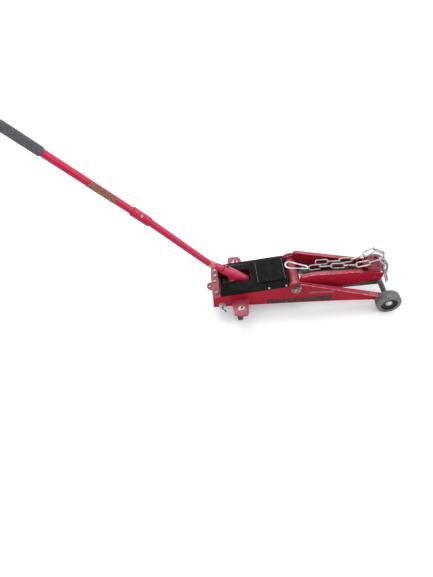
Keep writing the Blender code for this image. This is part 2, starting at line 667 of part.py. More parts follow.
def front_wheels():
    inner, outer, hub = WHEEL_IN, WHEEL_IN + WHEEL_W, 0.0104
    profile = [
        (0.030, WHEEL_W), (WHEEL_R - 0.003, WHEEL_W), (WHEEL_R, WHEEL_W - 0.004), (WHEEL_R, 0.004),
        (WHEEL_R - 0.003, 0), (hub, 0), (hub, WHEEL_W - 0.0105), (0.0260, WHEEL_W - 0.0105),
    ]
    for side, name in SIDES:
        pivot = empty("front_wheel_axis_" + name, (AXLE_X, side * (inner + outer) / 2, AXLE_Z), root)
        wheel = turned(profile, (AXLE_X, side * inner, AXLE_Z), "Y" if side > 0 else "-Y", 40)
        place(wheel, "front_wheel_" + name, IRON, pivot)


def caster(side, name):
    """A swivel caster that trails towards the middle of the jack."""
    stem = Vector((0, side * STEM_Y, 0))
    swivel = empty("caster_swivel_" + name, stem + Vector((0, 0, 0.0785)), root)
    disc_low, disc_high = 0.0735, 0.0785
    fork = rod(stem + Vector((0, 0, disc_low)), stem + Vector((0, 0, disc_high)), 0.018, 24)
    join(fork, rod(stem + Vector((0, 0, disc_low + 0.001)), stem + Vector((0, 0, EAR_Z + 0.0105)), 0.0050, 16))
    wheel_y = STEM_Y - TRAIL
    for low, high in ((-0.0130, -0.0103), (0.0103, 0.0130)):
        tip = arc((wheel_y, CASTER_R), 0.0075, 200, 340, 6)
        outline = [(STEM_Y - 0.0120, disc_low + 0.002), *tip, (STEM_Y + 0.0120, disc_low + 0.002)]
        cheek = flat([(side * y, z) for y, z in outline], low, high)
        cheek.data.transform(Matrix.Rotation(pi / 2, 4, "Z"))
        join(fork, cheek)
    axle_at = Vector((0, side * wheel_y, CASTER_R))
    across = Vector((1, 0, 0))
    cut(fork, rod(axle_at - across * 0.03, axle_at + across * 0.03, 0.0044, 14))
    place(fork, "caster_fork_" + name, ZINC, swivel)
    axle = rod(axle_at - across * 0.0150, axle_at + across * 0.0150, 0.0040, 14)
    place(axle, "caster_axle_" + name, STEEL, swivel)
    turn = empty("caster_wheel_axis_" + name, axle_at - swivel.location, swivel)
    half = CASTER_W / 2
    profile = [
        (0.0205, half), (CASTER_R, half - 0.002), (CASTER_R, -half + 0.002), (0.0205, -half),
        (0.0044, -half), (0.0044, half),
    ]
    wheel = turned(profile, axle_at, "X", 28)
    place(wheel, "caster_wheel_" + name, TYRE)
    wheel.parent = turn
    wheel.location = -axle_at


# Chain and snap hook

CHAIN_R = 0.0095
CHAIN_NEAR = [
    (0.250, -0.0130, 0.1660), (0.280, -0.0040, 0.1600), (0.320, -0.0010, 0.1570), (0.360, -0.0050, 0.1590),
    (0.410, -0.0130, 0.1670), (0.436, -0.0215, 0.1750), (0.4490, -0.0230, 0.1815),
]
CHAIN_DROP = [
    (0.4550, -0.0218, 0.1850), (0.478, -0.0165, 0.1872), (0.500, -0.0110, 0.1875), (0.5170, -0.0070, 0.1860),
    (0.5285, -0.0050, 0.1780), (0.5335, -0.0045, 0.1610), (0.5355, -0.0045, 0.1440), (0.5385, -0.0060, 0.1250),
    (0.5450, -0.0090, 0.1050), (0.5530, -0.0150, 0.0860), (0.5595, -0.0235, 0.0700), (0.5655, -0.0320, 0.0590),
    (0.5690, -0.0280, 0.0510), (0.5680, -0.0160, 0.0540), (0.5625, -0.0060, 0.0700), (0.5560, 0.0020, 0.0860),
    (0.5490, 0.0090, 0.1050), (0.5420, 0.0130, 0.1250), (0.5375, 0.0150, 0.1450), (0.5335, 0.0160, 0.1680),
    (0.5240, 0.0170, 0.1880), (0.5060, 0.0175, 0.2000), (0.4880, 0.0175, 0.2095), (0.4740, 0.0170, 0.2150),
    (0.4640, 0.0172, 0.2050), (0.4570, 0.0178, 0.1900),
]
CHAIN_FAR = [
    (0.4525, 0.0180, 0.1835), (0.4400, 0.0170, 0.1755), (0.410, 0.0140, 0.1690), (0.370, 0.0160, 0.1620),
    (0.330, 0.0195, 0.1585), (0.295, 0.0185, 0.1600), (0.265, 0.0110, 0.1650),
]


def chain(arm, bracket):
    """The chain's outer shape: two runs along the arm, and the loop that hangs over the saddle."""
    place(wire(smooth(CHAIN_NEAR, 2), CHAIN_R, 1), "chain_near_run", CHAIN, arm)
    place(wire(smooth(CHAIN_FAR, 2), CHAIN_R, 1), "chain_far_run", CHAIN, arm)
    place(wire(smooth(CHAIN_DROP, 2), CHAIN_R, 1), "chain_front_loop", CHAIN, bracket)


def snap_hook():
    """A pear-shaped snap hook, flat on the cover, whose sprung gate opens inwards."""
    pivot = empty("snap_hook_pin", HOOK_PIN, root)
    gauge, small, large, length = 0.0036, 0.0068, 0.0150, 0.0560
    lean = (large - small) / length
    edge = radians(90) - lean
    nose = [(small * cos(a), small * sin(a)) for a in (edge * k / 4 for k in range(-4, 5))]
    tail = [(-length - large * cos(a), large * sin(a)) for a in ((pi - edge) * k / 6 for k in range(-6, 7))]
    gate_start, gate_end = (-0.012, -small - 0.0004), (-0.044, -large + 0.0022)
    body = [gate_start, *nose, *reversed(tail), gate_end]
    direction = Vector((-cos(radians(16)), sin(radians(16)), 0))
    aside = Vector((-direction.y, direction.x, 0))

    def lay(points):
        return [Vector(HOOK_PIN) - direction * x - aside * y for x, y in points]

    place(wire(lay(body), gauge, 1), "snap_hook_body", BRIGHT, pivot)
    a, b = Vector(gate_start), Vector(gate_end)
    along = (b - a).normalized()
    ends = [a + along * 0.0012, b - along * 0.0014]
    hinge = lay([ends[0]])[0]
    turn = empty("snap_hook_gate_hinge", hinge - Vector(HOOK_PIN), pivot)
    gate = place(wire(lay(ends), gauge * 0.85, 1), "snap_hook_gate", BRIGHT)
    gate.parent = turn
    gate.location = -hinge


clear_scene()
parts = new_collection("trolley_jack")
helpers = new_collection("helpers")
root = empty("trolley_jack_origin", (-CENTRE_X, 0, 0))
for side, name in SIDES:
    side_plate(side, "side_plate_" + name)
    caster_ear(side, "caster_ear_" + name)
    caster_nut(side, "caster_nut_" + name)
    caster(side, name)
rear_cross_plate()
front_axle()
fasteners()
power_unit()
rear_cover()
release_spindle()
arm = lift_arm()
return_springs(arm)
radius_rods()
bracket = saddle_bracket()
ram()
handle(handle_socket())
pump()
front_wheels()
chain(arm, bracket)
snap_hook()
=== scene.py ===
"""Looks for the trolley jack: chain links and snap hook, worn paint, fasteners, springs, wheels, labels.

Metres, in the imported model's frame. X is written from the rear caster stems and moved by at().
"""

from math import cos, pi, radians, sin
from random import Random

import bmesh
import bpy
from mathutils import Matrix, Vector, noise


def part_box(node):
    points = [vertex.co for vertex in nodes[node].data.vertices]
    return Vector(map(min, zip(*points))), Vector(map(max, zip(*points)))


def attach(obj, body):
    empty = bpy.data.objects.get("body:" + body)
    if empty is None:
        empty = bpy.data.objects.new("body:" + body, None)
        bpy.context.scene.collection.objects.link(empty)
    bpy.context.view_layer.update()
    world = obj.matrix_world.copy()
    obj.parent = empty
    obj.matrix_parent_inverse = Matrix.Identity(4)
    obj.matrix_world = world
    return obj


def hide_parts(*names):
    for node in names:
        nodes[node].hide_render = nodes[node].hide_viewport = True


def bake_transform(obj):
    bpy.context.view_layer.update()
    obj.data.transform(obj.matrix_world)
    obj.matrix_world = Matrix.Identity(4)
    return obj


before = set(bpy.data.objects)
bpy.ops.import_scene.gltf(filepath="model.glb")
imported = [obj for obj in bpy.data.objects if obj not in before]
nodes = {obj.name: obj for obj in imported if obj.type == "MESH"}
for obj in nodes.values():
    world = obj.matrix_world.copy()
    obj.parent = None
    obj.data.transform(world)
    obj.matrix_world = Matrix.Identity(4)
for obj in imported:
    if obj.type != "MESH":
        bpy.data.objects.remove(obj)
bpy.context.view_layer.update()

CAMERA_SPOT = (-0.1685, -1.065, 1.344)
CAMERA_LENS = 28.07626                  # mm, on a 36 mm high sensor
CAMERA_LEVEL = (0.083, 0.9965)          # the level direction it looks in
CAMERA_DOWN = 50                        # degrees below level
PLATE_FACE = 0.0725                     # outer face of a side plate, from the middle
BLOCK_TOP = 0.0849                      # where the pump block's plugs sit
STEM_X = sum(corner.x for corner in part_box("caster_nut_left")) / 2
shift = Matrix.Translation
SIDES = ((1, "left"), (-1, "right"))


def at(x, y, z):
    """A point given from the caster stems, in the frame."""
    return Vector((x + STEM_X, y, z))


def middle(node):
    low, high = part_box(node)
    return (low + high) / 2


# Meshes

def new_object(name, mesh):
    made = bpy.data.objects.new(name, mesh)
    bpy.context.scene.collection.objects.link(made)
    return made


def finish_mesh(name, bm, smooth_angle=35):
    mesh = bpy.data.meshes.new(name)
    bmesh.ops.recalc_face_normals(bm, faces=bm.faces[:])
    bm.to_mesh(mesh)
    bm.free()
    mesh.shade_smooth()
    mesh.set_sharp_from_angle(angle=radians(smooth_angle))
    return new_object(name, mesh)


def facing(axis, origin=(0, 0, 0), turn=0.0):
    """Matrix that takes +Z to an axis, at an origin."""
    quat = Vector(axis).to_track_quat("Z", "Y").to_matrix().to_4x4()
    return shift(origin) @ quat @ Matrix.Rotation(turn, 4, "Z")


def inner_face(node, side, turn=0.0):
    """Matrix at the middle of a side node's inner face, with +Z outwards."""
    low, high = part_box(node)
    centre = (low + high) / 2
    return facing((0, side, 0), (centre.x, side * min(abs(low.y), abs(high.y)), centre.z), turn)


def circle(matrix, radius, count, height=0.0):
    """Points round the Z of a matrix."""
    angles = [2 * pi * k / count for k in range(count)]
    return [matrix @ Vector((radius * cos(a), radius * sin(a), height)) for a in angles]


def oblong(half_x, half_y):
    return [(-half_x, -half_y), (half_x, -half_y), (half_x, half_y), (-half_x, half_y)]


def merge_doubles(bm):
    bmesh.ops.remove_doubles(bm, verts=bm.verts[:], dist=1e-6)


def lathe(bm, profile, matrix=Matrix.Identity(4), steps=48):
    """Turns (radius, height) points round Z. A radius of 0 closes on the axis; others stay open."""
    rings = []
    for r, h in profile:
        if r < 1e-6:
            rings.append([bm.verts.new(matrix @ Vector((0, 0, h)))])
        else:
            rings.append([bm.verts.new(p) for p in circle(matrix, r, steps, h)])
    for one, two in zip(rings, rings[1:]):
        for k in range(steps):
            m = (k + 1) % steps
            quad = [one[k % len(one)], one[m % len(one)], two[m % len(two)], two[k % len(two)]]
            quad = list(dict.fromkeys(quad))
            if len(quad) > 2:
                bm.faces.new(quad)
    return bm


def rings_to_mesh(bm, rings, closed=False, caps=True):
    made = [[bm.verts.new(p) for p in ring] for ring in rings]
    pairs = list(zip(made, made[1:])) + ([(made[-1], made[0])] if closed else [])
    for one, two in pairs:
        for k in range(len(one)):
            m = (k + 1) % len(one)
            bm.faces.new((one[k], one[m], two[m], two[k]))
    if caps and not closed:
        bm.faces.new(made[0])
        bm.faces.new(made[-1])
    return bm


def frames_along(points, closed=False, up=Vector((0, 0, 1))):
    """A tangent and two steady normals at each point of a line."""
    count = len(points)
    tangents = []
    for k in range(count):
        before = points[(k - 1) % count] if closed or k else points[0]
        after = points[(k + 1) % count] if closed or k < count - 1 else points[-1]
        tangents.append((after - before).normalized())
    side = tangents[0].cross(up)
    side = side.normalized() if side.length > 1e-6 else tangents[0].orthogonal().normalized()
    found = []
    for tangent in tangents:
        side = (side - tangent * side.dot(tangent)).normalized()
        found.append((tangent, side, tangent.cross(side)))
    return found


def tube(bm, points, radius, sides=12, closed=False, caps=True):
    """A round bar along points. radius is one number, or one for each point."""
    points = [Vector(p) for p in points]
    radii = radius if isinstance(radius, (list, tuple)) else [radius] * len(points)
    rings = []
    for p, r, (_, one, two) in zip(points, radii, frames_along(points, closed)):
        rings.append([p + (one * cos(2 * pi * k / sides) + two * sin(2 * pi * k / sides)) * r
                      for k in range(sides)])
    return rings_to_mesh(bm, rings, closed, caps)


def smooth_line(points, per_span):
    p = [Vector(q) for q in points]
    p = [2 * p[0] - p[1], *p, 2 * p[-1] - p[-2]]
    found = []
    for a, b, c, d in zip(p, p[1:], p[2:], p[3:]):
        for k in range(per_span):
            t = k / per_span
            found.append(0.5 * (2 * b + (c - a) * t + (2 * a - 5 * b + 4 * c - d) * t**2
                                + (3 * b - a - 3 * c + d) * t**3))
    return found + [p[-2]]


def arc(centre, radius, first, last, count):
    angles = [radians(first + (last - first) * k / (count - 1)) for k in range(count)]
    return [(centre[0] + radius * cos(a), centre[1] + radius * sin(a)) for a in angles]


def plate(bm, outline, low, high, matrix=Matrix.Identity(4)):
    """A prism of a flat outline in X and Y, from low to high in Z."""
    rings = [[matrix @ Vector((x, y, z)) for x, y in outline] for z in (low, high)]
    return rings_to_mesh(bm, rings)


def bevelled(obj, width, segments=2, angle=40):
    modifier = obj.modifiers.new("edges", "BEVEL")
    modifier.width = width
    modifier.segments = segments
    modifier.limit_method = "ANGLE"
    modifier.angle_limit = radians(angle)
    modifier.harden_normals = False
    return obj


# Materials

class Shader:
    """A Principled material being built: each method adds a node and gives back its output."""

    def __init__(self, name, metallic=0.0, roughness=0.5, coat=0.0):
        self.material = bpy.data.materials.new(name)
        self.material.use_nodes = True
        self.tree = self.material.node_tree
        self.bsdf = self.tree.nodes["Principled BSDF"]
        self.bsdf.inputs["Metallic"].default_value = metallic
        self.bsdf.inputs["Roughness"].default_value = roughness
        self.bsdf.inputs["Coat Weight"].default_value = coat
        self.bsdf.inputs["Coat Roughness"].default_value = 0.12
        self.place = self.add("ShaderNodeTexCoord").outputs["Object"]

    def feed(self, socket, value):
        """Links a socket to a node's output, or sets it to a plain value."""
        if isinstance(value, bpy.types.NodeSocket):
            self.tree.links.new(value, socket)
        else:
            socket.default_value = value

    def add(self, kind, **inputs):
        node = self.tree.nodes.new(kind)
        for key, value in inputs.items():
            self.feed(node.inputs[key.replace("_", " ")], value)
        return node

    def noise(self, scale, detail=4.0, roughness=0.55, stretch=None):
        place = self.place
        if stretch:
            moved = self.add("ShaderNodeMapping", Vector=place)
            moved.inputs["Scale"].default_value = stretch
            place = moved.outputs["Vector"]
        return self.add("ShaderNodeTexNoise", Vector=place, Scale=scale, Detail=detail,
                        Roughness=roughness).outputs["Fac"]

    def cells(self, scale):
        return self.add("ShaderNodeTexVoronoi", Vector=self.place, Scale=scale).outputs["Distance"]

    def band(self, value, low, high, start=0.0, end=1.0):
        """value mapped from low..high onto start..end, and held there outside."""
        node = self.add("ShaderNodeMapRange", Value=value)
        node.inputs["From Min"].default_value = low
        node.inputs["From Max"].default_value = high
        node.inputs["To Min"].default_value = start
        node.inputs["To Max"].default_value = end
        return node.outputs["Result"]

    def math(self, operation, one, two=0.0):
        node = self.tree.nodes.new("ShaderNodeMath")
        node.operation = operation
        for socket, value in zip(node.inputs, (one, two)):
            self.feed(socket, value)
        return node.outputs["Value"]

    def mix(self, factor, one, two):
        node = self.tree.nodes.new("ShaderNodeMix")
        node.data_type = "RGBA"
        for name, value in (("Factor_Float", factor), ("A_Color", one), ("B_Color", two)):
            socket = next(s for s in node.inputs if s.identifier == name)
            self.feed(socket, (*value, 1) if isinstance(value, tuple) else value)
        return next(s for s in node.outputs if s.identifier == "Result_Color")

    def upward(self):
        """1 on faces that look up, 0 on upright and downward ones."""
        normal = self.add("ShaderNodeNewGeometry").outputs["Normal"]
        return self.add("ShaderNodeSeparateXYZ", Vector=normal).outputs["Z"]

    def connect(self, value, socket):
        self.tree.links.new(value, self.bsdf.inputs[socket])

    def bump(self, height, strength, distance):
        node = self.add("ShaderNodeBump", Height=height, Strength=strength, Distance=distance)
        self.connect(node.outputs["Normal"], "Normal")


def red_paint(name, base, patch_colour, chips=0.62, shine=0.3):
    """Glossy enamel with orange peel, pale pink patches on upward faces (partly a dusty film, partly painted
    highlight), dull patches and chips down to steel.
    """
    s = Shader(name, 0.0, shine)
    sky = s.upward()
    s.connect(s.band(sky, 0.15, 0.9, 0.07, 0.5), "Specular IOR Level")
    s.connect(s.band(sky, 0.3, 0.95, 0.0, 0.3), "Coat Weight")
    cloud = s.band(s.noise(9, 5), 0.35, 0.7)
    colour = s.mix(cloud, base, tuple(c * 0.78 for c in base))
    # Upward faces are mixed in patches towards a pale pink: partly a dusty film, partly painted highlight
    # standing for lit tops.
    upward_patches = s.math("MULTIPLY", s.band(sky, 0.35, 0.95), s.band(s.noise(28, 6, 0.6), 0.35, 0.75, 0.08, 0.4))
    colour = s.mix(upward_patches, colour, patch_colour)
    streaks = s.band(s.noise(40, 4, 0.6, (0.25, 1.0, 2.4)), 0.6, 0.74)
    colour = s.mix(s.math("MULTIPLY", streaks, 0.3), colour, (0.09, 0.01, 0.018))
    spots = s.band(s.noise(160, 3, 0.7), chips, chips + 0.035)
    colour = s.mix(spots, colour, (0.085, 0.062, 0.055))
    s.connect(colour, "Base Color")
    rough = s.math("ADD", s.band(s.noise(34, 4), 0.3, 0.7, shine - 0.08, shine + 0.14),
                   s.math("MULTIPLY", spots, 0.3))
    s.connect(rough, "Roughness")
    s.bump(s.math("SUBTRACT", s.noise(420, 2), s.math("MULTIPLY", spots, 1.4)), 0.2, 0.0004)
    return s.material


def steel(name, base, rust, rust_share=0.62, roughness=0.36, metallic=1.0, grain=(1.0, 1.0, 1.0)):
    """Metal with fine grain, darker patches and rust where rust_share is low."""
    s = Shader(name, metallic, roughness)
    tone = s.band(s.noise(70, 5, 0.6, grain), 0.3, 0.7)
    colour = s.mix(tone, base, tuple(c * 0.62 for c in base))
    patch = s.band(s.noise(120, 6, 0.68), rust_share, rust_share + 0.1)
    colour = s.mix(patch, colour, rust)
    s.connect(colour, "Base Color")
    s.connect(s.band(s.math("ADD", s.noise(150, 4, 0.6, grain), patch), 0.3, 1.3, roughness - 0.06, 0.75),
              "Roughness")
    s.bump(s.math("ADD", s.noise(500, 3, 0.6, grain), s.math("MULTIPLY", patch, 0.8)), 0.18, 0.0003)
    return s.material


def black_paint(name):
    s = Shader(name, 0.0, 0.42)
    s.bsdf.inputs["Specular IOR Level"].default_value = 0.07
    rubbed = s.band(s.noise(16, 6, 0.62, (1.0, 2.2, 1.0)), 0.52, 0.78, 0.0, 0.55)
    colour = s.mix(rubbed, (0.003, 0.0026, 0.0032), (0.011, 0.008, 0.009))
    scuffs = s.band(s.noise(90, 4, 0.7, (0.4, 1.6, 1.0)), 0.66, 0.72)
    colour = s.mix(s.math("MULTIPLY", scuffs, 0.35), colour, (0.1, 0.09, 0.1))
    upward_patches = s.math("MULTIPLY", s.band(s.upward(), 0.6, 1.0), s.band(s.noise(45, 5), 0.4, 0.8, 0.0, 0.07))
    colour = s.mix(upward_patches, colour, (0.16, 0.14, 0.13))
    s.connect(colour, "Base Color")
    s.connect(s.band(s.noise(38, 4), 0.3, 0.7, 0.32, 0.58), "Roughness")
    s.bump(s.noise(650, 2), 0.25, 0.0003)
    return s.material


def worn_iron(name, base, dark):
    """Rolled and grimy tread: grey where it is rubbed, dark in the pits."""
    s = Shader(name, 0.25, 0.62)
    colour = s.mix(s.band(s.noise(60, 7, 0.65), 0.35, 0.65), base, dark)
    pits = s.band(s.cells(420), 0.1, 0.3, 1.0, 0.0)
    colour = s.mix(s.math("MULTIPLY", pits, 0.5), colour, (0.03, 0.028, 0.026))
    s.connect(colour, "Base Color")
    s.connect(s.band(s.noise(90, 5), 0.3, 0.7, 0.5, 0.85), "Roughness")
    s.bump(s.math("SUBTRACT", s.noise(300, 5, 0.7), s.math("MULTIPLY", pits, 0.6)), 0.45, 0.0005)
    return s.material


def foam(name):
    """Speckled grey foam rubber."""
    s = Shader(name, 0.0, 0.86)
    speck = s.band(s.noise(520, 3, 0.7), 0.42, 0.6)
    colour = s.mix(speck, (0.026, 0.026, 0.029), (0.125, 0.125, 0.135))
    colour = s.mix(s.band(s.noise(30, 5), 0.45, 0.8, 0.0, 0.6), colour, (0.075, 0.073, 0.075))
    s.connect(colour, "Base Color")
    s.bump(s.noise(800, 4, 0.7), 0.5, 0.0006)
    return s.material


def rubber(name, base):
    s = Shader(name, 0.0, 0.72)
    s.connect(s.mix(s.band(s.noise(55, 5), 0.35, 0.7), base, tuple(c * 2.2 + 0.01 for c in base)),
              "Base Color")
    s.bump(s.noise(380, 4), 0.3, 0.0004)
    return s.material


def label(name, base, print_colour, patch_colour, scale=240):
    """A sticker showing wear: bands of faded print that can't be read, and torn patches."""
    s = Shader(name, 0.0, 0.55)
    s.bsdf.inputs["Specular IOR Level"].default_value = 0.1
    stripes = s.band(s.noise(scale, 2, 0.5, (1.0, 0.3, 3.0)), 0.48, 0.56)
    colour = s.mix(s.math("MULTIPLY", stripes, 0.6), base, print_colour)
    torn = s.band(s.noise(90, 6, 0.7), 0.55, 0.63)
    colour = s.mix(torn, colour, patch_colour)
    s.connect(colour, "Base Color")
    s.bump(torn, 0.4, 0.0003)
    return s.material


# Each look: its slot and its material.
LOOKS = {
    # The second colour of each red is the pale pink of the dusty film and painted highlight on upward faces.
    "red": ("red_paint", red_paint("red_enamel", (0.33, 0.006, 0.021), (0.62, 0.2, 0.28))),
    "red_handle": ("red_paint", red_paint("red_enamel_handle", (0.47, 0.012, 0.048), (0.68, 0.2, 0.27),
                                          chips=0.67, shine=0.22)),
    "red_worn": ("red_paint",
                 red_paint("red_enamel_worn", (0.31, 0.008, 0.026), (0.5, 0.15, 0.2), chips=0.59, shine=0.4)),
    "black": ("black_paint", black_paint("black_enamel")),
    "zinc": ("zinc_plate", steel("zinc_plating", (0.45, 0.45, 0.44), (0.16, 0.1, 0.07), 0.56, 0.38)),
    "zinc_light": ("zinc_plate", steel("bright_zinc", (0.56, 0.56, 0.55), (0.2, 0.15, 0.11), 0.58, 0.32)),
    # Grey metal for the lid's edge lines: partly rubbed paint, partly painted highlight.
    "rubbed": ("black_paint",
               steel("black_edge_wear_and_highlight", (0.2, 0.2, 0.21), (0.02, 0.02, 0.02), 0.52, 0.45, 0.5)),
    "rusty": ("zinc_plate", steel("rusty_steel", (0.4, 0.36, 0.33), (0.16, 0.085, 0.05), 0.46, 0.48)),
    "dark_steel": ("bare_steel", steel("dark_steel", (0.2, 0.195, 0.19), (0.1, 0.06, 0.04), 0.58, 0.42)),
    "bright": ("bright_hook_steel", steel("bright_hook", (0.8, 0.81, 0.85), (0.5, 0.5, 0.52), 0.7, 0.18)),
    "chain": ("galvanised_chain",
              steel("galvanised_links", (0.58, 0.58, 0.57), (0.22, 0.18, 0.15), 0.55, 0.34)),
    "spring": ("spring_steel", steel("spring_wire", (0.2, 0.2, 0.21), (0.1, 0.07, 0.05), 0.6, 0.4)),
    "iron": ("worn_cast_iron", worn_iron("rolled_wheel", (0.215, 0.208, 0.2), (0.08, 0.075, 0.07))),
    # Much darker iron for the wheel's recess: painted shade.
    "iron_recess_shade": ("worn_cast_iron", worn_iron("wheel_recess_shade", (0.045, 0.042, 0.04), (0.016, 0.015, 0.014))),
    "foam": ("foam_grip", foam("speckled_foam")),
    "rubber": ("caster_rubber", rubber("caster_tread", (0.018, 0.018, 0.019))),
    "plastic": ("caster_rubber", rubber("black_plastic", (0.012, 0.012, 0.013))),
    "label": ("black_paint",
              label("worn_label", (0.16, 0.085, 0.075), (0.26, 0.2, 0.17), (0.22, 0.03, 0.04))),
    "band": ("black_paint",
             label("scratched_band", (0.008, 0.007, 0.008), (0.12, 0.1, 0.1), (0.16, 0.01, 0.02), 180)),
    "decal": ("black_paint",
              label("warning_label", (0.16, 0.045, 0.035), (0.4, 0.3, 0.2), (0.42, 0.018, 0.045), 320)),
    # Pale pink for the painted highlights along the bends.
    "pale": ("red_paint",
             label("painted_bend_highlight", (0.55, 0.06, 0.11), (0.8, 0.48, 0.54), (0.38, 0.012, 0.03), 200)),
    "primer": ("bare_steel",
               label("bare_patch", (0.42, 0.016, 0.045), (0.72, 0.52, 0.54), (0.58, 0.26, 0.29), 260)),
}


def piece(name, bm, smooth_angle, look, body, *stands_for):
    """A finished mesh with its material, in place of the CAD nodes it stands for.

    It rides on body, unless that is None.
    """
    obj = finish_mesh(name, bm, smooth_angle)
    slot, material = LOOKS[look]
    obj.data.materials.append(material)
    if body:
        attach(obj, body)
    if stands_for:
        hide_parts(*stands_for)
    return obj


def paint(look, *names, edge=None):
    """Gives kept CAD nodes a material, and small rounded edges where edge says how wide."""
    for name in names:
        node = nodes[name]
        node.data.materials.clear()
        node.data.materials.append(LOOKS[look][1])
        if edge:
            bevelled(node, edge)


# Camera, light and floor

def camera_and_light():
    data = bpy.data.cameras.new("camera")
    data.sensor_fit = "VERTICAL"
    data.sensor_height = 36
    data.lens = CAMERA_LENS
    camera = bpy.data.objects.new("camera", data)
    bpy.context.scene.collection.objects.link(camera)
    camera.location = at(*CAMERA_SPOT)
    down = radians(CAMERA_DOWN)
    look = Vector((CAMERA_LEVEL[0] * cos(down), CAMERA_LEVEL[1] * cos(down), -sin(down)))
    camera.rotation_euler = look.to_track_quat("-Z", "Y").to_euler()
    bpy.context.scene.camera = camera

    world = bpy.data.worlds.new("studio")
    world.use_nodes = True
    world.node_tree.nodes["Background"].inputs["Color"].default_value = (0.93, 0.96, 1.0, 1)
    world.node_tree.nodes["Background"].inputs["Strength"].default_value = 1.06
    bpy.context.scene.world = world
    bpy.context.scene.view_settings.view_transform = "Standard"
    for name, spot, size, power in (
        ("key", (-0.5, 0.9, 2.2), 1.4, 24), ("fill", (-0.9, -1.9, 1.5), 1.8, 5),
        ("front", (2.0, -0.4, 1.2), 1.2, 4),
    ):
        light = bpy.data.lights.new(name, "AREA")
        light.size = size
        light.energy = power
        lamp = bpy.data.objects.new(name, light)
        lamp.location = at(*spot)
        lamp.rotation_euler = (at(0.15, 0, 0.1) - lamp.location).to_track_quat("-Z", "Y").to_euler()
        bpy.context.scene.collection.objects.link(lamp)

    bm = bmesh.new()
    bmesh.ops.create_grid(bm, x_segments=1, y_segments=1, size=12)
    floor = finish_mesh("floor", bm)
    s = Shader("pale_floor", 0.0, 0.9)
    s.bsdf.inputs["Base Color"].default_value = (0.93, 0.93, 0.93, 1)
    s.bsdf.inputs["Emission Color"].default_value = (1.0, 1.0, 1.0, 1)
    s.bsdf.inputs["Emission Strength"].default_value = 0.16
    s.bsdf.inputs["Specular IOR Level"].default_value = 0.1
    floor.data.materials.append(s.material)


# Chain and snap hook

HOOK_PIN = (0.237, -0.009, 0.1665)
LINK_WIRE, LINK_WIDTH, LINK_PITCH = 0.0027, 0.0215, 0.0435
CHAIN_NEAR = [
    (0.25, -0.013, 0.166), (0.28, -0.004, 0.16), (0.32, -0.001, 0.157), (0.36, -0.005, 0.159),
    (0.41, -0.013, 0.167), (0.436, -0.0215, 0.175), (0.449, -0.023, 0.1815),
]
CHAIN_DROP = [
    (0.455, -0.0218, 0.185), (0.478, -0.0165, 0.1872), (0.5, -0.011, 0.1875), (0.517, -0.007, 0.186),
    (0.5285, -0.005, 0.178), (0.5335, -0.0045, 0.161), (0.5355, -0.0045, 0.144), (0.5385, -0.006, 0.125),
    (0.545, -0.009, 0.105), (0.553, -0.015, 0.086), (0.5595, -0.0235, 0.07), (0.5655, -0.032, 0.059),
    (0.569, -0.028, 0.051), (0.568, -0.016, 0.054), (0.5625, -0.006, 0.07), (0.556, 0.002, 0.086),
    (0.549, 0.009, 0.105), (0.542, 0.013, 0.125), (0.5375, 0.015, 0.145), (0.5335, 0.016, 0.168),
    (0.524, 0.017, 0.188), (0.506, 0.0175, 0.2), (0.488, 0.0175, 0.2095), (0.474, 0.017, 0.215),
    (0.464, 0.0172, 0.205), (0.457, 0.0178, 0.19),
]
CHAIN_FAR = [
    (0.4525, 0.018, 0.1835), (0.44, 0.017, 0.1755), (0.41, 0.014, 0.169), (0.37, 0.016, 0.162),
    (0.33, 0.0195, 0.1585), (0.295, 0.0185, 0.16), (0.265, 0.011, 0.165),
]


def stations(line, pitch):
    """Points along a line, each a straight pitch from the last."""
    found = [line[0]]
    for a, b in zip(line, line[1:]):
        while (b - found[-1]).length >= pitch:
            low, high = 0.0, 1.0
            for _ in range(30):
                t = (low + high) / 2
                if (a.lerp(b, t) - found[-1]).length < pitch:
                    low = t
                else:
                    high = t
            found.append(a.lerp(b, high))
    return found


def link_outline(length, half_width, count=10):
    """The middle line of a long link, centred on the origin along X."""
    straight = length / 2 - half_width
    right = arc((straight, 0), half_width, -90, 90, count)
    left = arc((-straight, 0), half_width, 90, 270, count)
    return right + left


def make_chain(hook):
    near, drop, far = ([at(*p) for p in part] for part in (CHAIN_NEAR, CHAIN_DROP, CHAIN_FAR))
    line = smooth_line(near + drop[1:] + far[1:], 10)
    joints = stations(line, LINK_PITCH)
    up = Vector((0, 0, 1))
    bm = bmesh.new()
    rng = Random(7)
    side = None
    for k, (a, b) in enumerate(zip(joints, joints[1:])):
        along = (b - a).normalized()
        if side is None:
            side = along.cross(up).normalized()
        side = (side - along * side.dot(along)).normalized()
        over = along.cross(side)
        roll = radians(-45 if k % 2 else 45) + radians(rng.uniform(-9, 9))
        across = side * cos(roll) + over * sin(roll)
        centre = (a + b) / 2
        wire = LINK_WIRE * rng.uniform(0.97, 1.03)
        ring = link_outline(LINK_PITCH + 2 * LINK_WIRE * 0.98, LINK_WIDTH / 2 - LINK_WIRE)
        points = [centre + along * x + across * y for x, y in ring]
        tube(bm, points, wire, 10, closed=True)
        weld_at = shift(centre - across * (LINK_WIDTH / 2 - LINK_WIRE)) @ Matrix.Scale(1.5, 4, along)
        bmesh.ops.create_uvsphere(bm, u_segments=8, v_segments=6, radius=LINK_WIRE * 1.18, matrix=weld_at)
    chain = piece("chain_links", bm, 60, "chain", None, "chain_near_run", "chain_front_loop", "chain_far_run")
    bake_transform(chain)


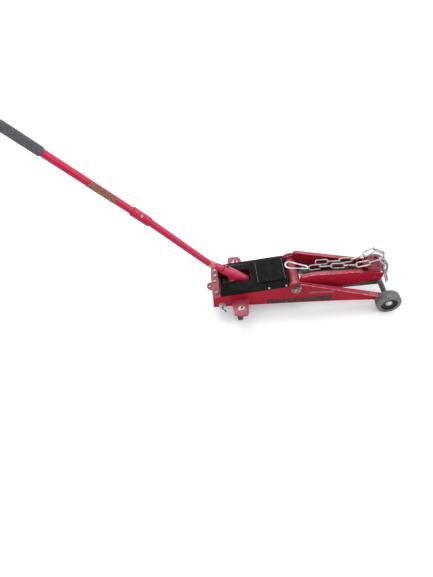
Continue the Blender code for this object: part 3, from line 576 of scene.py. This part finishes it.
def make_hook():
    """A pear-shaped snap hook with an eye at its narrow end and a sprung gate."""
    gauge, small, large, length = 0.0034, 0.0072, 0.015, 0.057
    away = Vector((-cos(radians(16)), sin(radians(16)), 0))
    aside = Vector((-away.y, away.x, 0))
    pin = at(*HOOK_PIN)

    def lay(points):
        return [pin - away * x - aside * y for x, y in points]

    tail = [(-length - large * cos(radians(a)), large * sin(radians(a))) for a in range(-96, 97, 8)]
    nose = [(small * cos(radians(a)), small * sin(radians(a))) for a in range(-80, 81, 10)]
    tip = [(-0.0425, -large + 0.0014), (-0.05, -large + 0.0002)]
    start = [(-0.01, -small - 0.001)]
    line = smooth_line(lay(start + nose + [(-0.02, small + 0.0022)] + list(reversed(tail))
                           + list(reversed(tip))), 2)
    bm = bmesh.new()
    tube(bm, line, gauge, 14)
    for end, radius in ((line[0], 1.18), (line[-1], 1.16)):
        bmesh.ops.create_uvsphere(bm, u_segments=14, v_segments=10, radius=gauge * radius, matrix=shift(end))
    hook = piece("snap_hook", bm, 60, "bright", "snap_hook", "snap_hook_body")
    a, b = lay([(-0.012, -small - 0.0012)])[0], lay([(-0.041, -large + 0.0022)])[0]
    bm = bmesh.new()
    tube(bm, [a, a.lerp(b, 0.1), a.lerp(b, 0.9), b], [gauge * 0.92, gauge * 0.86, gauge * 0.8, gauge * 0.92],
         14)
    for p in (a.lerp(b, 0.03), b.lerp(a, 0.05)):
        lathe(bm, [(0, gauge * 1.12), (0.0011, gauge * 1.12), (0.0013, gauge), (0.0013, -gauge),
                   (0.0011, -gauge * 1.12), (0, -gauge * 1.12)],
              shift(p), 10)
    piece("snap_gate", bm, 60, "bright", "snap_gate", "snap_hook_gate")
    return hook


# Fasteners

def nut(bm, place, across_flats, height, washer=0.0, stud=0.0, stud_out=0.0):
    """A chamfered nut or bolt head, standing along +Z of place, with a washer below and a stud through it."""
    base = 0.0
    if washer:
        lathe(bm, [(0, 0), (washer, 0), (washer, 0.0012), (washer - 0.0004, 0.0016), (0, 0.0016)], place, 32)
        base = 0.0016
    corner, flat = across_flats / 2 / cos(radians(30)), across_flats / 2
    steps = 36

    def edge(angle, radius):
        """The hexagon's own radius at an angle, or a circle's where that is smaller."""
        inside = (angle + pi / 6) % (pi / 3) - pi / 6
        return min(flat / cos(inside), radius)

    levels = [(base, 0.985 * flat), (base + 0.0006, corner), (base + height * 0.86, corner),
              (base + height, 0.93 * flat)]
    rings = []
    for z, radius in levels:
        angles = [2 * pi * k / steps for k in range(steps)]
        rings.append([place @ Vector((edge(a, radius) * cos(a), edge(a, radius) * sin(a), z))
                      for a in angles])
    rings_to_mesh(bm, rings)
    if stud:
        thread(bm, place @ shift((0, 0, base + height * 0.9)), stud, stud_out + height * 0.1)


def thread(bm, place, radius, length, pitch=0.0011):
    """The ridged end of a stud, with a chamfered tip."""
    profile = [(radius * 0.9, 0)]
    count = max(2, int(length / pitch))
    for k in range(count):
        profile += [(radius, (k + 0.35) * length / count), (radius * 0.9, (k + 0.85) * length / count)]
    profile += [(radius * 0.78, length), (0, length)]
    lathe(bm, profile, place, 24)


def pan_screw(bm, place, radius, height):
    """A domed screw head with a round recess."""
    profile = [(radius, 0), (radius, height * 0.35), (radius * 0.86, height * 0.75), (radius * 0.55, height),
               (radius * 0.22, height),
               (radius * 0.16, height * 0.45), (0, height * 0.45)]
    lathe(bm, profile, place, 24)


def weld(bm, points, radius, rng, closed=False):
    """A rippled weld bead along points."""
    line = [Vector(p) for p in points]
    radii = [radius * (1 + 0.22 * sin(k * 1.9) + rng.uniform(-0.1, 0.1)) for k in range(len(line))]
    tube(bm, line, radii, 8, closed)


def spread(a, b, count):
    a, b = Vector(a), Vector(b)
    return [a.lerp(b, k / (count - 1)) for k in range(count)]


# Springs

def coil_line(start, end, radius, turns, lead, per_turn=20):
    """A spring's line: a straight lead at each end, and close turns between."""
    along = (end - start).normalized()
    out = along.cross(Vector((0, 0, 1))).normalized()
    up = out.cross(along)
    body = (end - start).length - 2 * lead
    points = [start]
    for k in range(turns * per_turn + 1):
        a = 2 * pi * k / per_turn
        ease = min(1.0, k / 6, (turns * per_turn - k) / 6)
        centre = start + along * (lead + body * k / (turns * per_turn))
        points.append(centre + radius * ease * (up * cos(a) + out * sin(a)))
    return points + [end]


def hook_round(pin, along, radius):
    """Three quarters of a turn round a pin that lies along Y, ending where the spring starts."""
    up = Vector((0, 1, 0)).cross(along).normalized()
    angles = [radians(250 - 250 * k / 9) for k in range(10)]
    return [pin + along * radius * cos(a) + up * radius * sin(a) for a in angles]


def make_springs():
    for side, name in SIDES:
        low, high = middle("lower_pin_" + name), middle("spring_pin")
        low = Vector((low.x, side * 0.0245, low.z))
        high = Vector((high.x, side * 0.012, high.z))
        along = (high - low).normalized()
        first = hook_round(low, along, 0.0066)
        last = hook_round(high, -along, 0.0056)[::-1]
        line = first[:-1] + coil_line(first[-1], last[0], 0.0078, 46, 0.016, 14) + last[1:]
        bm = bmesh.new()
        tube(bm, line, 0.00125, 8)
        spring = piece("return_coil_" + name, bm, 60, "spring", None, "return_spring_" + name)
        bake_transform(spring)
    low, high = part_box("pump_spring")
    centre = (low + high) / 2
    turns, per_turn = 6, 24
    line = []
    for k in range(turns * per_turn + 1):
        a = 2 * pi * k / per_turn
        z = low.z + 0.001 + (high.z - low.z - 0.002) * k / (turns * per_turn)
        line.append(Vector((centre.x + 0.008 * cos(a), centre.y + 0.008 * sin(a), z)))
    bm = bmesh.new()
    tube(bm, line, 0.001, 8)
    spring = piece("pump_coil", bm, 60, "spring", None, "pump_spring")
    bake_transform(spring)


# Wheels

def make_front_wheels():
    for side, name in SIDES:
        low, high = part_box("front_wheel_" + name)
        centre = (low + high) / 2
        radius, w = (high.z - low.z) / 2, high.y - low.y
        place = inner_face("front_wheel_" + name, side)
        bm = bmesh.new()
        tread = [(0.0108, w - 0.0112), (0.0165, w - 0.0112), (0.0172, w - 0.01), (0.0262, w - 0.0104),
                 (0.0282, w - 0.009),
                 (0.03, w - 0.0012), (0.0306, w - 0.0002), (radius - 0.0052, w - 0.0002)]
        tread += [(radius - 0.0052 + 0.0046 * sin(radians(a)), w - 0.0048 + 0.0046 * cos(radians(a)))
                  for a in (20, 45, 70)]
        tread += [(radius - 0.0006, w - 0.005), (radius, w * 0.72), (radius, w * 0.5), (radius, w * 0.28),
                  (radius - 0.0006, 0.005)]
        tread += [(radius - 0.0052 + 0.0046 * sin(radians(a)), 0.0048 - 0.0046 * cos(radians(a)))
                  for a in (70, 45, 20)]
        tread += [(radius - 0.0052, 0.0002), (0.02, 0.0002), (0.019, 0.0012), (0.0108, 0.0012),
                  (0.0108, w - 0.0112)]
        lathe(bm, tread, place, 72)
        merge_doubles(bm)
        for v in bm.verts:
            out = Vector((v.co.x - centre.x, 0, v.co.z - centre.z))
            if out.length > radius * 0.93:
                nick = noise.noise(v.co * 160) * 0.00035 + min(0.0,
                        noise.noise(v.co * 55 + Vector((9, 0, 0))) + 0.25) * 0.0012
                v.co -= out.normalized() * (abs(nick) + 0.0001)
        piece("rolled_wheel_" + name, bm, 50, "iron", "front_wheel_" + name, "front_wheel_" + name)
        # The hub ring, the lining laid just proud of the recess and the spokes take a much darker iron:
        # painted shade in the wheel's recess.
        bm = bmesh.new()
        lathe(bm, [(0.0106, w - 0.011), (0.0106, w - 0.0085), (0.0152, w - 0.0085), (0.016, w - 0.0092),
                   (0.016, w - 0.011)], place, 48)
        lining = [(0.0158, w - 0.0098), (0.0258, w - 0.01), (0.0278, w - 0.0086), (0.0297, w - 0.001)]
        lathe(bm, lining + [(radius + 0.0003, h - 0.0003) for radius, h in reversed(lining)] + lining[:1],
              place, 64)
        for k in range(6):
            a = 2 * pi * k / 6
            spoke = place @ Matrix.Rotation(a, 4, "Z") @ shift((0.022, 0, w - 0.0104))
            plate(bm, [(-0.005, -0.0011), (0.0048, -0.0011), (0.0048, 0.0011), (-0.005, 0.0011)], -0.0004,
                  0.0022, spoke)
        piece("wheel_web_" + name, bm, 40, "iron_recess_shade", "front_wheel_" + name)
        cap_low, cap_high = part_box("axle_cap_" + name)
        cap = inner_face("axle_cap_" + name, side)
        deep = cap_high.y - cap_low.y
        bm = bmesh.new()
        dome = [(0.0128, 0), (0.0128, deep * 0.35), (0.0118, deep * 0.55), (0.0114, deep * 0.5),
                (0.0095, deep * 0.62), (0.006, deep * 0.92),
                (0.0022, deep), (0, deep * 0.97)]
        lathe(bm, [(0, 0)] + dome, cap, 48)
        piece("dust_cap_" + name, bm, 40, "zinc_light", "chassis", "axle_cap_" + name)


def make_casters():
    for _, name in SIDES:
        low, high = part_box("caster_wheel_" + name)
        centre = (low + high) / 2
        radius, half = (high.z - low.z) / 2, (high.x - low.x) / 2
        place = facing((1, 0, 0), centre)
        rim = radius - 0.007
        bm = bmesh.new()
        tread = [(rim, half - 0.0006), (radius - 0.0034, half - 0.0004)]
        tread += [(radius - 0.0034 + 0.0034 * sin(radians(a)), (half - 0.0034) + 0.0034 * cos(radians(a)))
                  for a in (25, 50, 75, 90)]
        tread += [(r, -h) for r, h in reversed(tread)]
        lathe(bm, tread + [tread[0]], place, 56)
        merge_doubles(bm)
        piece("caster_tyre_" + name, bm, 50, "rubber", "caster_wheel_" + name, "caster_wheel_" + name)
        bm = bmesh.new()
        disc = [(0.0046, half), (0.0068, half), (0.0074, half - 0.0014), (rim - 0.002, half - 0.003),
                (rim, half - 0.0012)]
        lathe(bm, disc + [(r, -h) for r, h in reversed(disc)] + [disc[0]], place, 48)
        merge_doubles(bm)
        piece("caster_core_" + name, bm, 40, "plastic", "caster_wheel_" + name)
        fork_low, fork_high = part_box("caster_fork_" + name)
        stem = middle("caster_nut_" + name)
        bm = bmesh.new()
        race = 0.0735
        lathe(bm, [(0.0155, race - 0.0002), (0.0168, race - 0.002), (0.016, race - 0.0042),
                   (0.012, race - 0.005), (0, race - 0.005)],
              shift((stem.x, stem.y, 0)), 40)
        for x in (fork_low.x - 0.0002, fork_high.x + 0.0002):
            out = 1 if x > stem.x else -1
            nut(bm, facing((out, 0, 0), (x, centre.y, centre.z)), 0.01, 0.003)
        piece("caster_fittings_" + name, bm, 35, "zinc", "caster_" + name)
        nut_low, nut_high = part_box("caster_nut_" + name)
        bm = bmesh.new()
        nut(bm, shift((stem.x, stem.y, nut_low.z)) @ Matrix.Rotation(radians(11), 4, "Z"), 0.0185,
            nut_high.z - nut_low.z - 0.0016, 0.0128)
        piece("stem_nut_" + name, bm, 30, "zinc_light", "chassis", "caster_nut_" + name)
        bm = bmesh.new()
        thread(bm, shift((stem.x, stem.y, nut_high.z - 0.0006)), 0.0052, fork_high.z - nut_high.z + 0.0006)
        piece("stem_thread_" + name, bm, 40, "zinc", "caster_" + name)


# Details of the frame

def skirt_z(x):
    """Height of the cover's lower fold."""
    return 0.112 + (x + 0.07) * 0.135


def make_frame_fittings():
    rng = Random(11)
    for side, name in SIDES:
        low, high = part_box("pivot_nut_" + name)
        centre = (low + high) / 2
        bm = bmesh.new()
        nut(bm, inner_face("pivot_nut_" + name, side, radians(12)), 0.03, 0.0068, 0.019, 0.0118, 0.0042)
        piece("shaft_nut_" + name, bm, 30, "rusty", "chassis", "pivot_nut_" + name)
        bm = bmesh.new()
        boss = facing((0, side, 0), (centre.x, side * PLATE_FACE, centre.z))
        lathe(bm, [(0.02, -0.0005), (0.0262, -0.0005), (0.0258, 0.001), (0.0245, 0.0014), (0.02, 0.0014)],
              boss, 56)
        weld(bm, circle(boss, 0.0266, 60, 0.0002), 0.0011, rng, closed=True)
        ear_low, ear_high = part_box("caster_ear_" + name)
        for z in (ear_low.z - 0.0002, ear_high.z + 0.0002):
            weld(bm, spread((ear_low.x + 0.002, side * 0.073, z), (ear_high.x - 0.002, side * 0.073, z), 40),
                 0.0013, rng)
        piece("frame_welds_" + name, bm, 40, "red", "chassis")
        bolt_low, bolt_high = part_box("tie_bolt")
        bolt = (bolt_low + bolt_high) / 2
        bm = bmesh.new()
        where = facing((0, side, 0), (bolt.x, side * 0.0728, bolt.z), radians(20 if side > 0 else 5))
        nut(bm, where, 0.0182, 0.0058, 0.0118, 0 if side > 0 else 0.0058, 0.0042)
        piece("tie_nut_" + name, bm, 30, "zinc_light", "chassis")
        bm = bmesh.new()
        for x in (0.0996, 0.1592):
            place = facing((0, side * 0.3, 0.95), at(x, side * 0.0716, skirt_z(x) + 0.0042))
            pan_screw(bm, place, 0.0036, 0.002)
        piece("cover_screws_" + name, bm, 30, "zinc", "chassis")
    bm = bmesh.new()
    tube(bm, [(bolt.x, -PLATE_FACE, bolt.z), (bolt.x, PLATE_FACE, bolt.z)], 0.006, 20)
    piece("tie_rod", bm, 40, "zinc", "chassis", "tie_bolt")
    bm = bmesh.new()
    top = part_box("rear_cross_plate")[1].z
    for x, y in ((-0.082, 0.031), (-0.086, 0.004), (-0.083, -0.048), (-0.082, 0.056)):
        nut(bm, shift(at(x, y, top)) @ Matrix.Rotation(rng.uniform(0, 1), 4, "Z"), 0.0085, 0.0032, 0.0058)
    piece("flange_screws", bm, 30, "zinc", "chassis")
    bm = bmesh.new()
    for side in (1, -1):
        weld(bm, spread(at(-0.0905, side * 0.0665, 0.058), at(-0.0905, side * 0.0665, 0.099), 30), 0.0014,
             rng)
    eye = at(-0.105, -0.014, top)
    eyelet = [(0.0046, -0.0003), (0.007, -0.0003), (0.0066, 0.0009), (0.005, 0.0009), (0.0046, 0.0)]
    lathe(bm, eyelet, shift(eye), 32)
    piece("cross_plate_details", bm, 40, "red_worn", "chassis")


def surface_strip(name, look, body, corners, depth, columns, rows, rng, ragged=0.0):
    """A thin sticker or painted patch laid between four corners, a little proud, with a worn outline."""
    a, b, c, d = (Vector(p) for p in corners)
    normal = (b - a).cross(d - a).normalized()
    bm = bmesh.new()
    grid = []
    for j in range(rows + 1):
        v = j / rows
        row = []
        for i in range(columns + 1):
            u = i / columns
            p = a.lerp(b, u).lerp(d.lerp(c, u), v)
            if ragged and (j in (0, rows) or i in (0, columns)):
                centre = (a + b + c + d) / 4
                p = p.lerp(centre, rng.uniform(0, ragged) * (0.3 if i in (0, columns) else 1))
            row.append(bm.verts.new(p + normal * depth))
        grid.append(row)
    for one, two in zip(grid, grid[1:]):
        for k in range(columns):
            bm.faces.new((one[k], one[k + 1], two[k + 1], two[k]))
    made = piece(name, bm, 60, look, body)
    shell = made.modifiers.new("thickness", "SOLIDIFY")
    shell.thickness = depth * 0.9
    shell.offset = -1


def make_labels():
    rng = Random(5)
    for side, name in SIDES:
        y = side * PLATE_FACE

        def corners(x0, x1, low0, high0, low1, high1):
            flat = [at(x0, y, low0), at(x1, y, low1), at(x1, y, high1), at(x0, y, high0)]
            return flat if side < 0 else [flat[1], flat[0], flat[3], flat[2]]

        surface_strip("side_strip_" + name, "label", "chassis",
                      corners(0.246, 0.338, 0.0975, 0.1065, 0.0945, 0.1035), 0.0003, 40, 4, rng, 0.05)
        surface_strip("side_band_" + name, "band", "chassis",
                      corners(0.094, 0.338, 0.0545, 0.076, 0.05, 0.077), 0.0003, 60, 8, rng, 0.1)


# Arm details

def make_arm_details():
    rng = Random(21)
    for side, name in SIDES:
        bm = bmesh.new()
        spot = at(0.4416, side * 0.0362, 0.152)
        ring = facing((0, side * 0.75, 0.66), spot)
        lathe(bm, [(0.0022, 0.0), (0.0024, 0.0012), (0.0036, 0.0013), (0.0044, 0.0002), (0.0046, -0.001)],
              ring, 24)
        pivot = at(0.197, 0, 0.128)
        turns = [2 * pi * k / 48 for k in range(48)]
        seam = [pivot + Vector((0.0208 * cos(a), side * 0.0592, 0.0208 * sin(a))) for a in turns]
        weld(bm, seam, 0.0014, rng, closed=True)
        piece("arm_details_" + name, bm, 40, "red", "lift_arm")
        bm = bmesh.new()
        pin = middle("saddle_pin")
        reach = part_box("saddle_pin")[1].y
        nut(bm, facing((0, side, 0), (pin.x, side * (reach - 0.0036), pin.z), radians(25)), 0.0175, 0.0062)
        piece("saddle_pin_head_" + name, bm, 30, "red", "lift_arm")
        bm = bmesh.new()
        rear = middle("lower_pin_" + name)
        ends = ((rear, 0.043), (middle("radius_front_pin"), 0.024))
        rim = [(0.0056, 0), (0.009, 0), (0.0086, 0.0008), (0.0058, 0.0008), (0.0056, 0)]
        for spot, y in ends:
            for out in (1, -1):
                boss = facing((0, side * out, 0), (spot.x, side * (y + out * 0.0029), spot.z))
                lathe(bm, rim, boss, 32)
        piece("rod_bosses_" + name, bm, 40, "dark_steel", "radius_rods")
    bm = bmesh.new()
    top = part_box("saddle")[0].z + 0.0095
    centre = middle("saddle")
    lathe(bm, [(0.024, 0.0), (0.0236, 0.0008), (0.0205, 0.0008), (0.02, 0.0)],
          shift((centre.x, centre.y, top)), 56)
    lathe(bm, [(0.013, 0.0), (0.0126, 0.0008), (0.01, 0.0008), (0.0096, 0.0)],
          shift((centre.x, centre.y, top)), 48)
    for k in range(12):
        spoke = Matrix.Rotation(2 * pi * k / 12, 4, "Z") @ shift((0.0165, 0, 0))
        rib = shift((centre.x, centre.y, top)) @ spoke
        plate(bm, oblong(0.0036, 0.0008), -0.0003, 0.0007, rib)
    piece("saddle_ribs", bm, 35, "red_worn", "saddle")
    bm = bmesh.new()
    nut(bm, shift((centre.x, centre.y, top - 0.0002)), 0.011, 0.0026, 0.0075)
    piece("saddle_bolt", bm, 30, "dark_steel", "saddle")


# Power unit details

def make_power_unit_details():
    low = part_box("pump_block")[0]
    cylinder_low, cylinder_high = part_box("ram_cylinder")
    z, radius = (cylinder_low.z + cylinder_high.z) / 2, (cylinder_high.z - cylinder_low.z) / 2
    bm = bmesh.new()
    end = facing((1, 0, 0), (cylinder_high.x - 0.0001, 0, z))
    lathe(bm, [(0.0108, 0.0002), (0.0108, 0.0062), (0.0125, 0.0072), (0.019, 0.0072), (0.02, 0.0062),
               (0.02, 0.0002)], end, 6)
    base = facing((1, 0, 0), (cylinder_low.x, 0, z))
    lathe(bm, [(radius - 0.0005, 0.0), (radius + 0.0022, 0.0), (radius + 0.0022, 0.006),
               (radius - 0.0005, 0.0075)], base, 56)
    piece("cylinder_gland", bm, 35, "dark_steel", "chassis")
    bm = bmesh.new()
    nut(bm, shift((low.x + 0.078, 0.024, BLOCK_TOP)), 0.013, 0.0042, 0.0085)
    nut(bm, shift((low.x + 0.078, -0.024, BLOCK_TOP)), 0.011, 0.0036)
    for y in (0.034, -0.034):
        side = 1 if y > 0 else -1
        for x in (0.022, 0.05, 0.078):
            nut(bm, facing((0, side, 0), (low.x + x, y - side * 0.0001, 0.066)), 0.0115, 0.004, 0.008)
    nut(bm, shift((cylinder_low.x + 0.045, 0, cylinder_high.z - 0.0008)), 0.012, 0.005, 0.008)
    piece("block_plugs", bm, 30, "zinc", "chassis")
    bm = bmesh.new()
    gland_x = middle("pump_plunger").x
    lathe(bm, [(0.0066, 0.0000), (0.0066, 0.003), (0.0104, 0.003), (0.011, 0.0022), (0.011, 0.0)],
          shift((gland_x, 0, BLOCK_TOP)), 6)
    piece("plunger_gland", bm, 35, "dark_steel", "chassis")
    bm = bmesh.new()
    spindle = middle("release_spindle")
    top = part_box("release_spindle")[1].z
    tube(bm, [(spindle.x, spindle.y - 0.0075, top - 0.0032), (spindle.x, spindle.y + 0.0075, top - 0.0032)],
         0.0014, 12)
    piece("spindle_cross_pin", bm, 35, "zinc", "release_valve")


# Handle details

SOCKET_TILT = radians(38)
SOCKET_END = (0.026, 0.1113)
HANDLE_LINE = [(-0.0586, 0.1775), (-0.0685, 0.1852), (-0.088, 0.197), (-0.096, 0.2025), (-0.108, 0.211),
               (-0.16, 0.268), (-0.229, 0.3455), (-0.287, 0.4095)]
UPPER_LINE = [(-0.333, 0.457), (-0.622, 0.756)]


def on_socket(s, n, y=0.0):
    up, over = (-cos(SOCKET_TILT), sin(SOCKET_TILT)), (sin(SOCKET_TILT), cos(SOCKET_TILT))
    return at(SOCKET_END[0] + s * up[0] + n * over[0], y, SOCKET_END[1] + s * up[1] + n * over[1])


def wrap(name, look, start, end, radius, ragged, rng, thick=0.0003, share=1.0, turn=0.0):
    """A sleeve of thin film round a straight tube, with uneven ends."""
    along = (end - start).normalized()
    place = facing(along, start, turn)
    length = (end - start).length
    outer = radius + thick
    steps, rows = 40, 16
    bm = bmesh.new()
    grid = []
    for j in range(rows + 1):
        row = []
        for k in range(steps + (share < 1)):
            a = 2 * pi * share * k / steps
            z = length * j / rows
            if j in (0, rows):
                z += rng.uniform(-ragged, ragged)
            row.append(bm.verts.new(place @ Vector((outer * cos(a), outer * sin(a), z))))
        grid.append(row)
    wide = len(grid[0])
    for one, two in zip(grid, grid[1:]):
        for k in range(wide - (share < 1)):
            m = (k + 1) % wide
            bm.faces.new((one[k], one[m], two[m], two[k]))
    return piece(name, bm, 60, look, "handle")


def make_socket():
    """The handle's socket: a round tube open below at its lower end, between two cheeks."""
    along = (on_socket(1.0, 0) - on_socket(0, 0)).normalized()
    over = (on_socket(0, 1.0) - on_socket(0, 0)).normalized()
    start = on_socket(0, 0)
    across = over.cross(along)
    matrix = Matrix((
        (across.x, over.x, along.x, start.x), (across.y, over.y, along.y, start.y),
        (across.z, over.z, along.z, start.z), (0, 0, 0, 1),
    ))
    bm = bmesh.new()
    shell = arc((0, 0), 0.017, -8, 188, 30) + arc((0, 0), 0.0146, 188, -8, 30)
    plate(bm, shell, -0.002, 0.061, matrix)
    ring = [(0.013, 0.0605), (0.017, 0.0605), (0.017, 0.106), (0.0162, 0.1075), (0.0138, 0.1075),
            (0.013, 0.1066), (0.013, 0.0605)]
    lathe(bm, ring, matrix, 48)
    cheek = [(-0.002, 0.003), (-0.003, -0.008), (0.006, -0.0195), (0.026, -0.0205), (0.04, -0.0285),
             (0.058, -0.0285),
             (0.072, -0.014), (0.086, -0.004), (0.086, 0.003)]
    for side in (1, -1):
        upright = Matrix(((along.x, over.x, 0, start.x), (along.y, over.y, side, start.y),
                          (along.z, over.z, 0, start.z), (0, 0, 0, 1)))
        plate(bm, cheek, 0.0136, 0.0172, upright)
    merge_doubles(bm)
    shape = piece("socket_tube", bm, 40, "red_handle", "socket", "handle_socket")
    bevelled(shape, 0.0007)


def make_edge_highlights():
    """Pale pink lines along the bends: painted highlight where the bends catch the light."""
    flange = [(0.208, 0.156, 0.006), (0.3, 0.13, 0.009), (0.42, 0.096, 0.014), (0.5, 0.0735, 0.0178)]
    crest = [(0.212, 0.0645, 0.1783), (0.222, 0.0645, 0.1778), (0.25, 0.058, 0.1767), (0.3, 0.052, 0.1712),
             (0.35, 0.0465, 0.1642), (0.4, 0.0405, 0.1592),
             (0.438, 0.0371, 0.1538)]
    for side, name in SIDES:
        rng = Random(40 + side)
        bm = bmesh.new()
        line = smooth_line([at(x, side * (0.0719 + wide), z + 0.0002) for x, z, wide in flange], 12)
        tube(bm, line, [0.0008 + 0.0004 * rng.random() for _ in line], 8)
        piece("flange_highlight_" + name, bm, 50, "pale", "chassis")
        bm = bmesh.new()
        line = smooth_line([at(x, side * (y - 0.0004), z - 0.0001) for x, y, z in crest], 8)
        tube(bm, line, [0.0007 + 0.0004 * rng.random() for _ in line], 8)
        piece("crest_highlight_" + name, bm, 50, "pale", "lift_arm")


def make_handle_details():
    rng = Random(31)
    bm = bmesh.new()
    mouth = facing(on_socket(1.0, 0) - on_socket(0, 0), on_socket(0.1075, 0))
    lathe(bm, [(0.0131, -0.0002), (0.0138, 0.001), (0.0158, 0.001), (0.0166, -0.0004), (0.0167, -0.003)],
          mouth, 48)
    for side in (1, -1):
        weld(bm, spread(on_socket(0.062, 0.004, side * 0.0178), on_socket(0.084, 0.004, side * 0.0172), 24),
             0.0013, rng)
        weld(bm, spread(on_socket(0.062, -0.0095, side * 0.015), on_socket(0.078, -0.0075, side * 0.015), 18),
             0.0012, rng)
    ring = [on_socket(0.0655, 0.0165 * cos(radians(a)), 0.0165 * sin(radians(a))) for a in range(-88, 89, 8)]
    weld(bm, ring, 0.0015, rng)
    piece("socket_welds", bm, 40, "red_worn", "socket")
    bm = bmesh.new()
    over = (on_socket(0, 1.0) - on_socket(0, 0)).normalized()
    screw = facing(over, on_socket(0.0975, 0.0158))
    nut(bm, screw, 0.009, 0.004, 0.0, 0.0028, 0.003)
    piece("socket_set_screw", bm, 30, "plastic", "socket")
    for node, body in (("socket_pivot_pin", "chassis"), ("pump_pin", "socket")):
        low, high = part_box(node)
        centre = (low + high) / 2
        bm = bmesh.new()
        for side in (1, -1):
            head = facing((0, side, 0), (centre.x, side * (high.y - 0.0028), centre.z), radians(15))
            nut(bm, head, 0.015 if node == "pump_pin" else 0.014, 0.004)
        piece(node + "_heads", bm, 30, "zinc_light", body)
    line = [at(x, 0, z) for x, z in HANDLE_LINE]
    smooth = smooth_line(line, 6)
    patch = [p for p in smooth if at(-0.1085, 0, 0).x <= p.x <= at(-0.086, 0, 0).x]
    bm = bmesh.new()
    tube(bm, patch, 0.01238, 36, caps=False)
    rng = Random(8)
    for v in bm.verts:
        if noise.noise(v.co * 130) < -0.02:
            v.co += (Vector((v.co.x, 0, v.co.z)) - v.co) * 0.12
    piece("worn_bend", bm, 60, "primer", "handle")
    low, high = at(HANDLE_LINE[-1][0], 0, HANDLE_LINE[-1][1]), at(UPPER_LINE[0][0], 0, UPPER_LINE[0][1])
    along = (high - low).normalized()
    bm = bmesh.new()
    for where, up in ((0.0028, -1), (0.0662, 1)):
        place = facing(along * up, low + along * where)
        weld(bm, circle(place, 0.014, 40, 0.0003), 0.0015, rng, closed=True)
    piece("sleeve_welds", bm, 40, "red_handle", "handle")
    bm = bmesh.new()
    out = (Vector((0, -1, 0)) * 0.6 + Vector((0, 0, 1)) * 0.8).normalized()
    out = (out - along * out.dot(along)).normalized()
    nut(bm, facing(out, low + along * 0.04 + out * 0.0152), 0.0085, 0.003)
    piece("sleeve_bolt", bm, 30, "zinc", "handle")
    start, end = (at(x, 0, z) for x, z in UPPER_LINE)
    out = (end - start).normalized()
    wrap("handle_label", "decal", start + out * 0.0645, start + out * 0.1555, 0.01225, 0.0006, Random(2),
         0.0004, 0.62, radians(-150))
    # The grip is a foam sleeve with a closed, rounded end.
    length = 0.118
    base = end - out * length
    place = facing(out, base)
    bm = bmesh.new()
    profile = [(0.01245, 0.0), (0.0136, 0.0), (0.0146, 0.0008), (0.015, 0.0024)]
    rows = 46
    profile += [(0.015 - 0.00035 * (k % 2), 0.003 + (length - 0.007) * k / rows) for k in range(rows + 1)]
    profile += [(0.0147, length - 0.0026), (0.0138, length - 0.0008), (0.0122, length), (0.0085, length),
                (0.006, length - 0.0012), (0, length - 0.0012)]
    lathe(bm, profile, place, 48)
    rng = Random(12)
    for v in bm.verts:
        radial = (v.co - base) - out * (v.co - base).dot(out)
        if radial.length > 0.0135:
            v.co -= radial.normalized() * (0.00022 + 0.00045 * abs(noise.noise(v.co * 90)))
    piece("foam_grip", bm, 60, "foam", "handle", "handle_grip")


# Cover details

def make_cover_details():
    """Grey lines on the lid's edges (partly rubbed paint, partly painted highlight), a black pan below as
    painted shade, a folded hem along the skirt, and the notch's rolled rim.
    """
    rear_x, front_x = at(0.064, 0, 0).x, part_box("cover_box")[1].x
    # Grey lines along the lid's rear and front top edges: partly rubbed paint, partly painted highlight.
    bm = bmesh.new()
    for x, half, z in ((rear_x, 0.047, 0.1455), (front_x, 0.0485, 0.1605)):
        points = spread((x, -half, z - 0.0002), (x, half, z - 0.0002), 24)
        tube(bm, [p + Vector((0, 0, 0.00015 * sin(k * 2.3))) for k, p in enumerate(points)], 0.0008, 8)
    piece("lid_edge_wear_and_highlight", bm, 60, "rubbed", "chassis")
    # A black pan low between the side plates: painted shade, standing in for the dark inside of the frame
    # where the floor would show through.
    bm = bmesh.new()
    pans = [[(-0.0905, -0.0672), (-0.0553, -0.0672), (-0.0553, 0.0672), (-0.0905, 0.0672)]]
    pans += [[(-0.0553, y), (0.13, y), (0.13, y + 0.0329), (-0.0553, y + 0.0329)] for y in (-0.0672, 0.0343)]
    for outline in pans:
        plate(bm, outline, 0.0565, 0.058, shift((STEM_X, 0, 0)))
    piece("painted_shade_pan", bm, 40, "black", "chassis")
    bm = bmesh.new()
    for side in (1, -1):
        line = [at(x, side * 0.0746, skirt_z(x) + 0.0006) for x in (-0.0695, 0.05, 0.1685)]
        tube(bm, line, 0.001, 8)
        inner = [at(x, side * 0.0279, 0.1283 + (x + 0.07) * 0.0792) for x in (-0.0695, 0.0398)]
        tube(bm, inner, 0.001, 8)
    tube(bm, [at(0.04, -0.0279, 0.137), at(0.04, 0.0279, 0.137)], 0.001, 8)
    piece("cover_hems", bm, 60, "black", "chassis")


camera_and_light()
make_chain(make_hook())
make_springs()
make_front_wheels()
make_casters()
make_frame_fittings()
make_labels()
make_arm_details()
make_power_unit_details()
make_socket()
make_handle_details()
make_edge_highlights()
make_cover_details()

# CAD nodes that keep their shape

paint("red", "side_plate_left", "side_plate_right", "caster_ear_left", "caster_ear_right", "arm_plate_left",
      "arm_plate_right", edge=0.0008)
paint("red_worn", "rear_cross_plate", "saddle_bracket", "arm_pivot_tube", "saddle", edge=0.0007)
paint("black", "rear_cover", "cover_box", edge=0.0012)
paint("dark_steel", "front_axle", "pivot_shaft", "lower_pin_left", "lower_pin_right", "pump_block",
      "arm_crank_pin", "spring_pin",
      "radius_rod_left", "radius_rod_right", "ram_yoke", "pump_plunger", "caster_axle_left",
      "caster_axle_right", "grease_nipple", edge=0.0005)
paint("red_handle", "lower_handle_tube", "coupling_sleeve", "upper_handle_tube", "ram_cylinder")
paint("zinc", "socket_pivot_pin", "release_spindle", "saddle_pin", "radius_front_pin", "ram_rod", "pump_pin",
      "caster_fork_left",
      "caster_fork_right", edge=0.0005)
